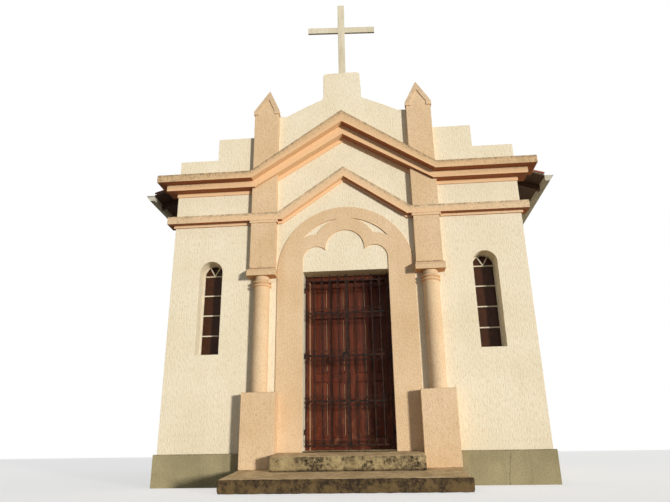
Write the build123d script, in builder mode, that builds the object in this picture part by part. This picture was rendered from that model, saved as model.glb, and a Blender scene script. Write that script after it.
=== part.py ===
from build123d import *
from math import cos, hypot, radians, sin, tan
import os

# A small country chapel: one rendered masonry hall behind a stepped and gabled front.
# X runs across the front, Y runs into the building, and Z is up from the ground.
# The origin is on the ground, below the face of the front wall, in line with the doorway.

# Driving sizes of the masonry, in millimetres.
facade_width = 5000
hall_depth = 6400
front_thickness = 450
wall_thickness = 220
plinth_height = 400
plinth_reach = 35
plinth_round = 18
floor_level = 420
floor_thickness = 120

# Doorway and windows.
door_width = 1200
door_height = 2370
window_width = 330
window_height = 1330
window_sill = 1670
window_centre = 1925
window_setback = 200
side_window_spacing = 2400

# Steps and pedestals.
lower_step_reach = 1100
lower_step_back = 210
lower_step_front = 150
lower_step_landing = 260
upper_step_reach = 500
upper_step_landing = 90
upper_step_drop = 40
step_round = 12
pedestal_inner = 924
pedestal_width = 443
pedestal_reach = 215
pedestal_top = 1140
pedestal_chamfer = 8

# Pilasters, capitals and columns.
pilaster_inner = 980
pilaster_width = 370
pilaster_reach = 90
capital_bottom = 2716
capital_groove = 2788
capital_widest = 2805
capital_top = 2852
capital_overhang = 18
capital_reach = 185
groove_depth = 6
column_radius = 108
column_setback = 60
roll_reach = 24
roll_height = 43
roll_splay = 12
roll_gap = 6
neck_height = 62
neck_inset = 8

# Pinnacles: a square shaft under a pyramid cap with a raised band along its edges.
pinnacle_depth = 400
pinnacle_eaves = 5405
pinnacle_apex = 5900
pinnacle_tip = 12
band_width = 76
band_reach = 14
band_foot = 62

# Flat raised band around the doorway, with its three-lobed head.
surround_reach = 18
surround_band = 175
tracery_band = 187
centre_lobe = 275
centre_lobe_rise = 330
side_lobe = 190
side_lobe_rise = 177

# Lower string course: a broad fascia over a thin flat strip.
string_bottom = 3535
string_fascia_bottom = 3575
string_top = 3690
string_reach = 100
string_under_reach = 20
string_kink_top = 965
string_kink_bottom = 900
string_peak_top = 4370
string_peak_bottom = 4214
string_under_peak = 4172

# Upper cornice: a deep fascia over a bed mould and a thin flat strip.
cornice_foot_bottom = 4035
cornice_bed_bottom = 4095
cornice_fascia_bottom = 4190
cornice_top = 4305
cornice_reach = 250
cornice_bed_reach = 135
cornice_foot_reach = 12
cornice_kink_top = 1350
cornice_kink_bottom = 1330
cornice_kink_bed = 1305
cornice_kink_foot = 1285
cornice_peak_top = 5240
cornice_peak_bottom = 5050
cornice_bed_peak = 4900
cornice_foot_peak = 4828
cornice_return = 150

# Parapet, central gable and cross.
low_parapet_top = 4640
high_parapet_top = 5000
parapet_step = 1920
gable_ledge = 120
gable_top = 5640
gable_flare = 40
gable_swell = 8
cross_block_width = 580
cross_block_top = 6090
cross_block_round = 60
cross_top = 7628
cross_arm_centre = 7107
cross_arm_span = 1112
cross_bar = 112
cross_thickness = 36
cross_turn = 3.7

# Roof.
roof_pitch = 20
roof_height_at_wall = 4390
tile_thickness = 45
tile_overhang = 15
tile_row_pitch = 200
tile_rows = 32
tile_roll_foot = 130
tile_roll_height = 42
tile_roll_lean = 50
tile_roll_gap = 5
board_thickness = 20
rafter_depth = 90
rafter_width = 50
rafter_pairs = 9
eave_reach = 2940
rear_overhang = 300
ridge_beam_width = 60
ridge_beam_depth = 160
ridge_tile_radius = 110
ridge_tile_thickness = 16
gutter_width = 130
gutter_base = 70
gutter_height = 85
gutter_sheet = 4
gutter_drop = 5

# Windows.
pane_count = 4
sash_bar = 16
sash_frame = 22
sash_depth = 22
fan_lean = 30
glass_thickness = 4
glass_sides = 12

# Door frame and the two wooden leaves.
frame_width = 48
frame_depth = 185
frame_stop = 12
leaf_thickness = 42
leaf_gap = 5
leaf_centre_gap = 3
leaf_bevel = 5
stile_width = 62
top_rail_width = 90
door_rail_width = 110
bottom_rail_width = 150
lock_rail_lift = 950
frieze_rail_lift = 1833
panel_columns = 2
panel_recess = 10
panel_margin = 16
panel_taper = 30
knuckle_radius = 7
knuckle_offset = 1
knuckle_length = 40
knuckle_end = 22
knuckle_pin = 4
turned_sides = 8
hinge_plate = 3
hinge_plate_width = 36
door_hinge_count = 3

# Iron gates.
gate_setback = 110
gate_thickness = 12
gate_stile = 18
gate_bar = 12
gate_bars = 4
gate_rail = 15
gate_bottom = 52
gate_top = 26
gate_top_rail_drop = 112
gate_rail_lifts = (609, 1208, 1798)
gate_pivot_inset = 14
gate_centre_gap = 6
scroll_height = 76
scroll_gap = 5
scroll_outside = ((0.6, 0), (1, 0.45), (0.5, 1))
scroll_inside = ((0.4, 0.82), (0.76, 0.47), (0.48, 0.15))
barrel_radius = 8
barrel_length = 60
barrel_weld = 2
pin_radius = 4.5
pin_clearance = 0.5
hook_height = 12
hook_lifts = (230, 1210, 2130)
bolt_radius = 5
bolt_length = 290
bolt_clearance = 6
lock_width = 70
lock_height = 95
lock_depth = 16

# Sizes that follow from the ones above.
half_width = facade_width / 2
half_door = door_width / 2
side_lobe_offset = half_door - side_lobe
door_head = floor_level + door_height
pilaster_outer = pilaster_inner + pilaster_width
pilaster_centre = pilaster_inner + pilaster_width / 2
pedestal_outer = pedestal_inner + pedestal_width
pedestal_centre = pedestal_inner + pedestal_width / 2
surround_outer = pilaster_inner - capital_overhang
hall_back = hall_depth - wall_thickness
gable_shoulder = pinnacle_eaves - band_foot
inner_face = half_width - wall_thickness
pitch_slope = tan(radians(roof_pitch))
pitch_stretch = 1 / cos(radians(roof_pitch))
front_face = Plane.XZ
sides = (("left", -1), ("right", 1))
window_places = (-side_window_spacing / 2, side_window_spacing / 2)

os.makedirs("parts", exist_ok=True)


def finish(piece, name):
    """Name a finished piece and write it out."""
    piece.label = name
    export_step(piece, f"parts/{name}.step")


def arched_light(x, sill, width, height):
    """Draw a round-headed opening in the current sketch."""
    straight = height - width / 2
    with Locations((x, sill + straight / 2)):
        Rectangle(width, straight)
    with Locations((x, sill + straight)):
        Circle(width / 2)


def roof_line(x, drop=0):
    """Give the height of the roof slope at x, dropped by a thickness measured square to it."""
    return roof_height_at_wall + (half_width - abs(x)) * pitch_slope - drop * pitch_stretch


def lower_step_top(reach):
    """Give the height of the worn lower step at a distance in front of the wall."""
    worn = max(0, reach - lower_step_landing) / (lower_step_reach - lower_step_landing)
    return lower_step_back - worn * (lower_step_back - lower_step_front)


# Plinth: a rendered course a little proud of the walls, which it carries.
for side, sign in sides:
    with BuildPart() as plinth_side:
        with BuildSketch(Plane.XY):
            with Locations((sign * (half_width + (plinth_reach - wall_thickness) / 2),
                            (front_thickness + hall_back) / 2)):
                Rectangle(wall_thickness + plinth_reach, hall_back - front_thickness)
        extrude(amount=plinth_height)
        outer_edge = plinth_side.edges().filter_by(Axis.Y).group_by(Axis.Z)[-1].sort_by(Axis.X)
        fillet(outer_edge[0 if sign < 0 else -1], plinth_round)
    finish(plinth_side.part, f"plinth_{side}")

with BuildPart() as plinth_front:
    with BuildSketch(Plane.XY):
        with Locations((0, (front_thickness - plinth_reach) / 2)):
            Rectangle(facade_width + 2 * plinth_reach, front_thickness + plinth_reach)
    extrude(amount=plinth_height)
    fillet(plinth_front.edges().filter_by(Axis.X).group_by(Axis.Z)[-1].sort_by(Axis.Y)[0], plinth_round)
finish(plinth_front.part, "plinth_front")

with BuildPart() as plinth_back:
    with BuildSketch(Plane.XY):
        with Locations((0, hall_back + (wall_thickness + plinth_reach) / 2)):
            Rectangle(facade_width + 2 * plinth_reach, wall_thickness + plinth_reach)
    extrude(amount=plinth_height)
    fillet(plinth_back.edges().filter_by(Axis.X).group_by(Axis.Z)[-1].sort_by(Axis.Y)[-1], plinth_round)
finish(plinth_back.part, "plinth_back")

# Floor slab, cast between the plinth walls, and the sill in the doorway.
with BuildPart() as floor_slab:
    with BuildSketch(Plane.XY.offset(floor_level - floor_thickness)):
        with Locations((0, (front_thickness + hall_back) / 2)):
            Rectangle(facade_width - 2 * wall_thickness, hall_back - front_thickness)
    extrude(amount=floor_thickness)
finish(floor_slab.part, "floor_slab")

with BuildPart() as door_sill:
    with BuildSketch(Plane.XY.offset(plinth_height)):
        with Locations((0, front_thickness / 2)):
            Rectangle(door_width, front_thickness)
    extrude(amount=floor_level - plinth_height)
finish(door_sill.part, "door_sill")

# Two concrete steps in front of the doorway, both worn so that they shed water.
with BuildPart() as lower_step:
    with BuildSketch(Plane.YZ.offset(-pedestal_outer)):
        with BuildLine():
            Polyline(
                (-plinth_reach, 0),
                (-plinth_reach, lower_step_back),
                (-lower_step_landing, lower_step_back),
                (-lower_step_reach, lower_step_front),
                (-lower_step_reach, 0),
                close=True,
            )
        make_face()
    extrude(amount=2 * pedestal_outer)
    fillet(lower_step.edges().filter_by(Axis.X).group_by(Axis.Y)[0].sort_by(Axis.Z)[-1], step_round)
finish(lower_step.part, "lower_step")

with BuildPart() as upper_step:
    with BuildSketch(Plane.YZ.offset(-pedestal_inner)):
        with BuildLine():
            Polyline(
                (-plinth_reach, lower_step_back),
                (-plinth_reach, plinth_height),
                (-upper_step_landing, plinth_height),
                (-upper_step_reach, plinth_height - upper_step_drop),
                (-upper_step_reach, lower_step_top(upper_step_reach)),
                (-lower_step_landing, lower_step_back),
                close=True,
            )
        make_face()
    extrude(amount=2 * pedestal_inner)
    fillet(upper_step.edges().filter_by(Axis.X).group_by(Axis.Y)[0].sort_by(Axis.Z)[-1], step_round)
finish(upper_step.part, "upper_step")

# Walls of the front: one each side of the doorway, one over it, and the gable above the string course.
for side, sign in sides:
    with BuildPart() as front_wall:
        with BuildSketch(front_face):
            with Locations((sign * (half_door + half_width) / 2, (plinth_height + string_bottom) / 2)):
                Rectangle(half_width - half_door, string_bottom - plinth_height)
        extrude(amount=-front_thickness)
        with BuildSketch(front_face):
            arched_light(sign * window_centre, window_sill, window_width, window_height)
        extrude(amount=-front_thickness, mode=Mode.SUBTRACT)
    finish(front_wall.part, f"front_wall_{side}")

with BuildPart() as front_wall_over_door:
    with BuildSketch(front_face):
        with Locations((0, (door_head + string_bottom) / 2)):
            Rectangle(door_width, string_bottom - door_head)
    extrude(amount=-front_thickness)
finish(front_wall_over_door.part, "front_wall_over_door")

with BuildPart() as front_gable:
    with BuildSketch(front_face):
        with BuildLine():
            Polyline(
                (0, string_bottom),
                (half_width, string_bottom),
                (half_width, low_parapet_top),
                (parapet_step, low_parapet_top),
                (parapet_step, high_parapet_top),
                (pilaster_inner, high_parapet_top),
                (pilaster_inner, gable_shoulder),
                (pilaster_inner - gable_ledge, gable_shoulder),
            )
            SagittaArc(
                (pilaster_inner - gable_ledge, gable_shoulder),
                (cross_block_width / 2 + gable_flare, gable_top - gable_flare),
                -gable_swell,
            )
            Polyline(
                (cross_block_width / 2 + gable_flare, gable_top - gable_flare),
                (cross_block_width / 2, gable_top),
                (0, gable_top),
            )
            mirror(about=Plane.YZ)
        make_face()
    extrude(amount=-front_thickness)
finish(front_gable.part, "front_gable")

# Side walls, each with the same round-headed windows, cut at the top to the slope of the rafters.
board_drop = tile_thickness + board_thickness
rafter_drop = board_drop + rafter_depth
side_window_middle = (front_thickness + hall_back) / 2
for side, sign in sides:
    with BuildPart() as side_wall:
        with BuildSketch(Plane.XZ.offset(-front_thickness)):
            with BuildLine():
                Polyline(
                    (sign * inner_face, plinth_height),
                    (sign * half_width, plinth_height),
                    (sign * half_width, roof_line(half_width, rafter_drop)),
                    (sign * inner_face, roof_line(inner_face, rafter_drop)),
                    close=True,
                )
            make_face()
        extrude(amount=-(hall_back - front_thickness))
        with BuildSketch(Plane.YZ.offset(-half_width if sign < 0 else inner_face)):
            for place in window_places:
                arched_light(side_window_middle + place, window_sill, window_width, window_height)
        extrude(amount=wall_thickness, mode=Mode.SUBTRACT)
    finish(side_wall.part, f"{side}_wall")

with BuildPart() as back_wall:
    with BuildSketch(Plane.XZ.offset(-hall_back)):
        with BuildLine():
            Polyline(
                (-half_width, plinth_height),
                (half_width, plinth_height),
                (half_width, roof_line(half_width, board_drop)),
                (0, roof_line(0, board_drop)),
                (-half_width, roof_line(half_width, board_drop)),
                close=True,
            )
        make_face()
    extrude(amount=-wall_thickness)
finish(back_wall.part, "back_wall")

pilaster_bed = (cornice_bed_bottom + (cornice_kink_bed - pilaster_inner)
                * (cornice_bed_peak - cornice_bed_bottom) / cornice_kink_bed)
pinnacle_foot = (cornice_top + (cornice_kink_top - pilaster_inner)
                 * (cornice_peak_top - cornice_top) / cornice_kink_top)


def rake(outer, kink, end, peak):
    """List the points of a level run that turns up to the middle of the front."""
    return [(outer, end), (kink, end), (0, peak)]


def raking_face(side_sign, outer, top, bottom):
    """Draw the front of one member of a moulding that runs level, then rakes up to the middle."""
    upper = rake(outer, *top)
    lower = rake(outer, *bottom)[::-1]
    with BuildSketch(front_face) as member:
        with BuildLine():
            Polyline([(side_sign * x, z) for x, z in upper + lower], close=True)
        make_face()
    return member.sketch


def corner_return(side_sign, reach, bottom, top):
    """Draw the front of the short length that carries a member round the corner of the building."""
    with BuildSketch(front_face) as member:
        with Locations((side_sign * (half_width + reach / 2), (bottom + top) / 2)):
            Rectangle(reach, top - bottom)
    return member.sketch


def pilaster_head(side_sign):
    """Draw the upper length of a pilaster, from the string course to the underside of the cornice."""
    with BuildSketch(front_face) as head:
        with BuildLine():
            Polyline(
                (side_sign * pilaster_inner, string_top),
                (side_sign * pilaster_outer, string_top),
                (side_sign * pilaster_outer, cornice_bed_bottom),
                (side_sign * cornice_kink_bed, cornice_bed_bottom),
                (side_sign * pilaster_inner, pilaster_bed),
                close=True,
            )
        make_face()
    return head.sketch


# String course: fascia over a thin strip, returned round the corner and broken round the pilaster.
string_fascia_line = (string_kink_bottom, string_fascia_bottom, string_peak_bottom)
for side, sign in sides:
    with BuildPart() as string_course:
        extrude(raking_face(sign, half_width + string_reach,
                            (string_kink_top, string_top, string_peak_top), string_fascia_line),
                amount=string_reach)
        extrude(raking_face(sign, half_width + string_under_reach, string_fascia_line,
                            (string_kink_bottom, string_bottom, string_under_peak)),
                amount=string_under_reach)
        with BuildSketch(front_face):
            with Locations((sign * pilaster_centre, (string_bottom + string_fascia_bottom) / 2)):
                Rectangle(pilaster_width + 2 * capital_overhang, string_fascia_bottom - string_bottom)
        extrude(amount=pilaster_reach + groove_depth)
        extrude(corner_return(sign, string_reach, string_fascia_bottom, string_top), amount=-cornice_return)
        extrude(corner_return(sign, string_under_reach, string_bottom, string_fascia_bottom),
                amount=-cornice_return)
    finish(string_course.part, f"string_course_{side}")

# Upper cornice: fascia, bed mould and thin strip, with a short return at each corner. The strip
# stops against the pilaster, and the two mouldings above it pass in front.
fascia_line = (cornice_kink_bottom, cornice_fascia_bottom, cornice_peak_bottom)
bed_line = (cornice_kink_bed, cornice_bed_bottom, cornice_bed_peak)
for side, sign in sides:
    with BuildPart() as upper_cornice:
        extrude(raking_face(sign, half_width + cornice_foot_reach, bed_line,
                            (cornice_kink_foot, cornice_foot_bottom, cornice_foot_peak)),
                amount=cornice_foot_reach)
        extrude(pilaster_head(sign), amount=pilaster_reach, mode=Mode.SUBTRACT)
        extrude(raking_face(sign, half_width + cornice_bed_reach, fascia_line, bed_line),
                amount=cornice_bed_reach)
        extrude(raking_face(sign, half_width + cornice_reach,
                            (cornice_kink_top, cornice_top, cornice_peak_top), fascia_line),
                amount=cornice_reach)
        for reach, bottom, top in ((cornice_foot_reach, cornice_foot_bottom, cornice_bed_bottom),
                                   (cornice_bed_reach, cornice_bed_bottom, cornice_fascia_bottom),
                                   (cornice_reach, cornice_fascia_bottom, cornice_top)):
            extrude(corner_return(sign, reach, bottom, top), amount=-cornice_return)
    finish(upper_cornice.part, f"upper_cornice_{side}")

# What stands on each side of the doorway, from the cornice down to the lower step, and above it.
capital_width = pilaster_width + 2 * capital_overhang
pinnacle_middle = pinnacle_depth / 2 - pilaster_reach
cap_rise = pinnacle_apex - pinnacle_eaves
field_rise = cap_rise * pilaster_width / (pilaster_width + 2 * band_reach)
capital_edge = [
    (0, capital_bottom),
    (0, capital_groove - groove_depth),
    (groove_depth, capital_groove - groove_depth),
    (groove_depth, capital_groove),
    (0, capital_groove),
    (0, capital_widest),
]


def pointed_outline(plane, middle, half, low, apex):
    """Draw a pinnacle's shaft and pointed cap, seen square to one of its faces."""
    with BuildSketch(plane) as outline:
        with BuildLine():
            Polyline(
                (middle - half, low),
                (middle + half, low),
                (middle + half, pinnacle_eaves),
                (middle + pinnacle_tip / 2, apex),
                (middle - pinnacle_tip / 2, apex),
                (middle - half, pinnacle_eaves),
                close=True,
            )
        make_face()
    return outline.sketch


def capped_shaft(x, width, depth, low, apex):
    """Make a square shaft with a pyramid cap: all that its front and side outlines have in common."""
    with BuildPart() as shaft:
        front = front_face.offset(depth / 2 - pinnacle_middle)
        extrude(pointed_outline(front, x, width / 2, low, apex), amount=-depth)
        side_face = Plane.YZ.offset(x - width / 2)
        extrude(pointed_outline(side_face, pinnacle_middle, depth / 2, low, apex),
                amount=width, mode=Mode.INTERSECT)
    return shaft.part


def cap_field(plane, middle, half):
    """Draw the sunk field that the band frames on one face of a pinnacle's cap."""
    edge = hypot(cap_rise, half)
    inner = half - band_width * edge / cap_rise
    with BuildSketch(plane) as field:
        with BuildLine():
            Polyline(
                (middle - inner, pinnacle_eaves - band_foot),
                (middle + inner, pinnacle_eaves - band_foot),
                (middle + inner, pinnacle_eaves),
                (middle, pinnacle_apex - band_width * edge / half),
                (middle - inner, pinnacle_eaves),
                close=True,
            )
        make_face()
    return field.sketch


for side, sign in sides:
    # Pilaster, in two lengths: from the capital up to the string course, and on up to the bed mould.
    with BuildPart() as pilaster:
        with BuildSketch(front_face):
            with Locations((sign * pilaster_centre, (capital_top + string_bottom) / 2)):
                Rectangle(pilaster_width, string_bottom - capital_top)
        extrude(amount=pilaster_reach)
        extrude(pilaster_head(sign), amount=pilaster_reach)
    finish(pilaster.part, f"pilaster_{side}")

    # Capital: a flare out of the pilaster, a groove, and a plain block over the column. The same
    # edge, drawn once for its front and once for its side, gives mitred corners where both meet.
    with BuildPart() as capital:
        flank = [(capital_width / 2 - inset, z) for inset, z in capital_edge]
        flank.append((pilaster_width / 2, capital_top))
        with BuildSketch(front_face):
            with BuildLine():
                Polyline([(sign * pilaster_centre + x, z) for x, z in flank]
                         + [(sign * pilaster_centre - x, z) for x, z in flank[::-1]], close=True)
            make_face()
        extrude(amount=capital_reach)
        nose = [(inset - capital_reach, z) for inset, z in capital_edge]
        with BuildSketch(Plane.YZ.offset(sign * pilaster_centre - capital_width / 2)):
            with BuildLine():
                Polyline([(0, capital_bottom)] + nose + [(-pilaster_reach, capital_top), (0, capital_top)],
                         close=True)
            make_face()
        extrude(amount=capital_width, mode=Mode.INTERSECT)
    finish(capital.part, f"capital_{side}")

    # Column: a round shaft engaged in the wall, with two splayed rolls under a plain neck.
    upper_roll = capital_bottom - neck_height - roll_height
    lower_roll = upper_roll - roll_gap - roll_height
    shaft_plane = Plane((sign * pilaster_centre, -column_setback, 0), x_dir=(1, 0, 0), z_dir=(0, -1, 0))
    with BuildPart() as column:
        with BuildSketch(shaft_plane):
            with BuildLine():
                Polyline(
                    (0, pedestal_top),
                    (column_radius, pedestal_top),
                    (column_radius, lower_roll),
                    (column_radius + roll_reach, lower_roll + roll_splay),
                    (column_radius + roll_reach, lower_roll + roll_height - roll_splay),
                    (column_radius, lower_roll + roll_height),
                    (column_radius, upper_roll),
                    (column_radius + roll_reach, upper_roll + roll_splay),
                    (column_radius + roll_reach, upper_roll + roll_height - roll_splay),
                    (column_radius, upper_roll + roll_height),
                    (column_radius - neck_inset, upper_roll + roll_height),
                    (column_radius - neck_inset, capital_bottom),
                    (0, capital_bottom),
                    close=True,
                )
            make_face()
        revolve(axis=Axis((sign * pilaster_centre, -column_setback, 0), (0, 0, 1)))
        with BuildSketch(Plane.XY.offset(pedestal_top)):
            with Locations((sign * pilaster_centre, -capital_reach)):
                Rectangle(2 * capital_reach, 2 * capital_reach)
        extrude(amount=capital_bottom - pedestal_top, mode=Mode.INTERSECT)
    finish(column.part, f"column_{side}")

    # Pedestal: a rendered block that stands on the lower step and fits over the plinth.
    with BuildPart() as pedestal:
        with BuildSketch(Plane.XY.offset(lower_step_back)):
            with Locations((sign * pedestal_centre, -pedestal_reach / 2)):
                Rectangle(pedestal_width, pedestal_reach)
        extrude(amount=pedestal_top - lower_step_back)
        with BuildSketch(Plane.XY.offset(lower_step_back)):
            with Locations((sign * pedestal_centre, -plinth_reach / 2)):
                Rectangle(pedestal_width, plinth_reach)
        extrude(amount=plinth_height - lower_step_back, mode=Mode.SUBTRACT)
        top_edges = pedestal.faces().sort_by(Axis.Z)[-1].edges().sort_by(Axis.Y)[:-1]
        chamfer(top_edges, pedestal_chamfer)
    finish(pedestal.part, f"pedestal_{side}")

    # Pinnacle: the pilaster carried on above the cornice, then a square shaft with a pyramid cap.
    # The cap is first made to the outside of its band. The fields inside the band are then cut out
    # of all four faces, and the shaft and a smaller pyramid fill them again, a little further back.
    outer_width = pilaster_width + 2 * band_reach
    outer_depth = pinnacle_depth + 2 * band_reach
    with BuildPart() as pinnacle:
        add(capped_shaft(sign * pilaster_centre, outer_width, outer_depth,
                         pinnacle_eaves - band_foot, pinnacle_apex))
        cap_front = front_face.offset(pilaster_reach + band_reach)
        extrude(cap_field(cap_front, sign * pilaster_centre, outer_width / 2),
                amount=-outer_depth, mode=Mode.SUBTRACT)
        cap_side = Plane.YZ.offset(sign * pilaster_centre - outer_width / 2)
        extrude(cap_field(cap_side, pinnacle_middle, outer_depth / 2),
                amount=outer_width, mode=Mode.SUBTRACT)
        add(capped_shaft(sign * pilaster_centre, pilaster_width, pinnacle_depth,
                         high_parapet_top, pinnacle_eaves + field_rise))
        with BuildSketch(front_face):
            with BuildLine():
                Polyline(
                    (sign * pilaster_outer, cornice_top),
                    (sign * pilaster_outer, high_parapet_top),
                    (sign * pilaster_inner, high_parapet_top),
                    (sign * pilaster_inner, pinnacle_foot),
                    close=True,
                )
            make_face()
        extrude(amount=pilaster_reach)
    finish(pinnacle.part, f"pinnacle_{side}")

# Surround: a flat raised band round the doorway, with a three-lobed head and two sunk crescents.
with BuildPart() as arch_surround:
    with BuildSketch(front_face):
        with Locations((0, (plinth_height + door_head) / 2)):
            Rectangle(2 * surround_outer, door_head - plinth_height)
        with Locations((0, door_head)):
            Circle(surround_outer)
        with BuildSketch(front_face, mode=Mode.SUBTRACT):
            with Locations((0, door_head)):
                Circle(surround_outer - surround_band)
            with Locations((0, door_head + centre_lobe_rise)):
                Circle(centre_lobe + tracery_band, mode=Mode.SUBTRACT)
            for sign in (-1, 1):
                with Locations((sign * side_lobe_offset, door_head + side_lobe_rise)):
                    Circle(side_lobe + tracery_band, mode=Mode.SUBTRACT)
            with Locations((0, door_head)):
                Rectangle(2 * surround_outer, 2 * (side_lobe_rise + side_lobe), mode=Mode.SUBTRACT)
        with Locations((0, (plinth_height + door_head + side_lobe_rise) / 2)):
            Rectangle(door_width, door_head + side_lobe_rise - plinth_height, mode=Mode.SUBTRACT)
        with Locations((0, door_head + centre_lobe_rise)):
            Circle(centre_lobe, mode=Mode.SUBTRACT)
        for sign in (-1, 1):
            with Locations((sign * side_lobe_offset, door_head + side_lobe_rise)):
                Circle(side_lobe, mode=Mode.SUBTRACT)
            with Locations((sign * pedestal_centre, (plinth_height + pedestal_top) / 2)):
                Rectangle(pedestal_width, pedestal_top - plinth_height, mode=Mode.SUBTRACT)
    extrude(amount=surround_reach)
finish(arch_surround.part, "arch_surround")

# Block that carries the cross, and the cross itself.
with BuildPart() as cross_block:
    with BuildSketch(front_face):
        with Locations((0, (gable_top + cross_block_top) / 2)):
            Rectangle(cross_block_width, cross_block_top - gable_top)
    extrude(amount=-front_thickness)
    top_corners = cross_block.edges().filter_by(Axis.Y).group_by(Axis.Z)[-1]
    fillet(top_corners, cross_block_round)
finish(cross_block.part, "cross_block")

# The cross stands a little turned on its block, its right arm further back than its left one.
turn = radians(cross_turn)
cross_plane = Plane((0, front_thickness / 2, 0), x_dir=(cos(turn), sin(turn), 0),
                    z_dir=(sin(turn), -cos(turn), 0))
with BuildPart() as cross:
    with BuildSketch(cross_plane):
        with Locations((0, (cross_block_top + cross_top) / 2)):
            Rectangle(cross_bar, cross_top - cross_block_top)
        with Locations((0, cross_arm_centre)):
            Rectangle(cross_arm_span, cross_bar)
    extrude(amount=cross_thickness / 2, both=True)
finish(cross.part, "cross")

# Roof timbers: a ridge beam, pairs of rafters, and the boards that show under the eaves.
roof_end = hall_depth + rear_overhang
beam_top = roof_line(0, tile_thickness + board_thickness)
with BuildPart() as ridge_beam:
    with BuildSketch(Plane.XZ.offset(-front_thickness)):
        with Locations((0, beam_top - ridge_beam_depth / 2 - ridge_beam_width / 2 * pitch_slope)):
            Rectangle(ridge_beam_width, ridge_beam_depth)
    extrude(amount=-(hall_back - front_thickness))
finish(ridge_beam.part, "ridge_beam")

rafter_start = front_thickness + rafter_width / 2
rafter_end = hall_back - rafter_width / 2
rafter_step = (rafter_end - rafter_start) / (rafter_pairs - 1)
with BuildPart() as rafters:
    for side, sign in sides:
        for index in range(rafter_pairs):
            place = front_thickness + index * rafter_step
            with BuildSketch(Plane.XZ.offset(-place)):
                with BuildLine():
                    Polyline(
                        (sign * ridge_beam_width / 2, roof_line(ridge_beam_width / 2, board_drop)),
                        (sign * eave_reach, roof_line(eave_reach, board_drop)),
                        (sign * eave_reach, roof_line(eave_reach, rafter_drop)),
                        (sign * ridge_beam_width / 2, roof_line(ridge_beam_width / 2, rafter_drop)),
                        close=True,
                    )
                make_face()
            extrude(amount=-rafter_width)
finish(rafters.part, "rafters")


def roof_section(side_sign, drop, thickness, outer, start):
    """Draw the section of one layer of a roof slope, from the ridge to its outer edge."""
    with BuildSketch(Plane.XZ.offset(-start)) as layer:
        with BuildLine():
            Polyline(
                (0, roof_line(0, drop)),
                (side_sign * outer, roof_line(outer, drop)),
                (side_sign * outer, roof_line(outer, drop + thickness)),
                (0, roof_line(0, drop + thickness)),
                close=True,
            )
        make_face()
    return layer.sketch


with BuildPart(mode=Mode.PRIVATE) as gable_block:
    with BuildSketch(Plane.XY.offset(string_bottom)):
        with Locations((0, front_thickness / 2)):
            Rectangle(facade_width, front_thickness)
    extrude(amount=pinnacle_apex - string_bottom)

with BuildPart() as roof_boards:
    for side, sign in sides:
        extrude(roof_section(sign, tile_thickness, board_thickness, eave_reach, cornice_return),
                amount=-(roof_end - cornice_return))
    add(gable_block.part, mode=Mode.SUBTRACT)
finish(roof_boards.part, "roof_boards")

# Clay tiles: a bed of pan tiles with a roll on it for each row of cover tiles. The rolls run square
# to the eave and stop just short of the ridge tiles.
tile_edge = eave_reach + tile_overhang
roll_run = (tile_edge - ridge_tile_radius - tile_roll_gap) * pitch_stretch


def tile_rolls(side_sign):
    """Draw the ends of all the rolls of one slope, on a plane square to the slope at its eave."""
    pitch = radians(roof_pitch)
    eave = Plane((side_sign * tile_edge, 0, roof_line(tile_edge)), x_dir=(0, -side_sign, 0),
                 z_dir=(-side_sign * cos(pitch), 0, sin(pitch)))
    with BuildSketch(eave) as rolls:
        for row in range(tile_rows):
            with Locations((-side_sign * (cornice_return + (row + 0.5) * tile_row_pitch), 0)):
                Trapezoid(tile_roll_foot, tile_roll_height, tile_roll_lean, align=(Align.CENTER, Align.MIN))
    return rolls.sketch


for side, sign in sides:
    with BuildPart() as roof_tiles:
        extrude(roof_section(sign, 0, tile_thickness, tile_edge, cornice_return),
                amount=-(roof_end - cornice_return))
        extrude(tile_rolls(sign), amount=roll_run)
        add(gable_block.part, mode=Mode.SUBTRACT)
    finish(roof_tiles.part, f"roof_tiles_{side}")

# Ridge tiles: a half-round run bedded over the two slopes.
with BuildPart() as ridge_tiles:
    ridge_height = roof_line(0) - ridge_tile_thickness
    with BuildSketch(Plane.XZ.offset(-front_thickness)):
        with Locations((0, ridge_height)):
            Circle(ridge_tile_radius)
            Circle(ridge_tile_radius - ridge_tile_thickness, mode=Mode.SUBTRACT)
        for side, sign in sides:
            with BuildLine():
                Polyline(
                    (0, roof_line(0)),
                    (sign * half_width, roof_line(half_width)),
                    (sign * half_width, string_bottom),
                    (0, string_bottom),
                    close=True,
                )
            make_face(mode=Mode.SUBTRACT)
    extrude(amount=-(roof_end - front_thickness))
finish(ridge_tiles.part, "ridge_tiles")

# Gutters: folded sheet with a sloping face, closed at both ends, one under each eave.
gutter_inner = eave_reach
gutter_top = roof_line(tile_edge, tile_thickness) - gutter_drop
with BuildPart() as gutters:
    for side, sign in sides:
        with BuildSketch(Plane.XZ.offset(-cornice_return)):
            with BuildLine():
                Polyline(
                    (sign * gutter_inner, gutter_top),
                    (sign * gutter_inner, gutter_top - gutter_height),
                    (sign * (gutter_inner + gutter_base), gutter_top - gutter_height),
                    (sign * (gutter_inner + gutter_width), gutter_top),
                    close=True,
                )
            make_face()
        extrude(amount=-(roof_end - cornice_return))
        trough_bottom = gutter_top - gutter_height + gutter_sheet
        with BuildSketch(Plane.XZ.offset(-(cornice_return + gutter_sheet))):
            with BuildLine():
                Polyline(
                    (sign * (gutter_inner + gutter_sheet), gutter_top),
                    (sign * (gutter_inner + gutter_sheet), trough_bottom),
                    (sign * (gutter_inner + gutter_base - gutter_sheet), trough_bottom),
                    (sign * (gutter_inner + gutter_width - 2 * gutter_sheet), gutter_top),
                    close=True,
                )
            make_face()
        extrude(amount=-(roof_end - cornice_return - 2 * gutter_sheet), mode=Mode.SUBTRACT)
finish(gutters.part, "gutters")

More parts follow.
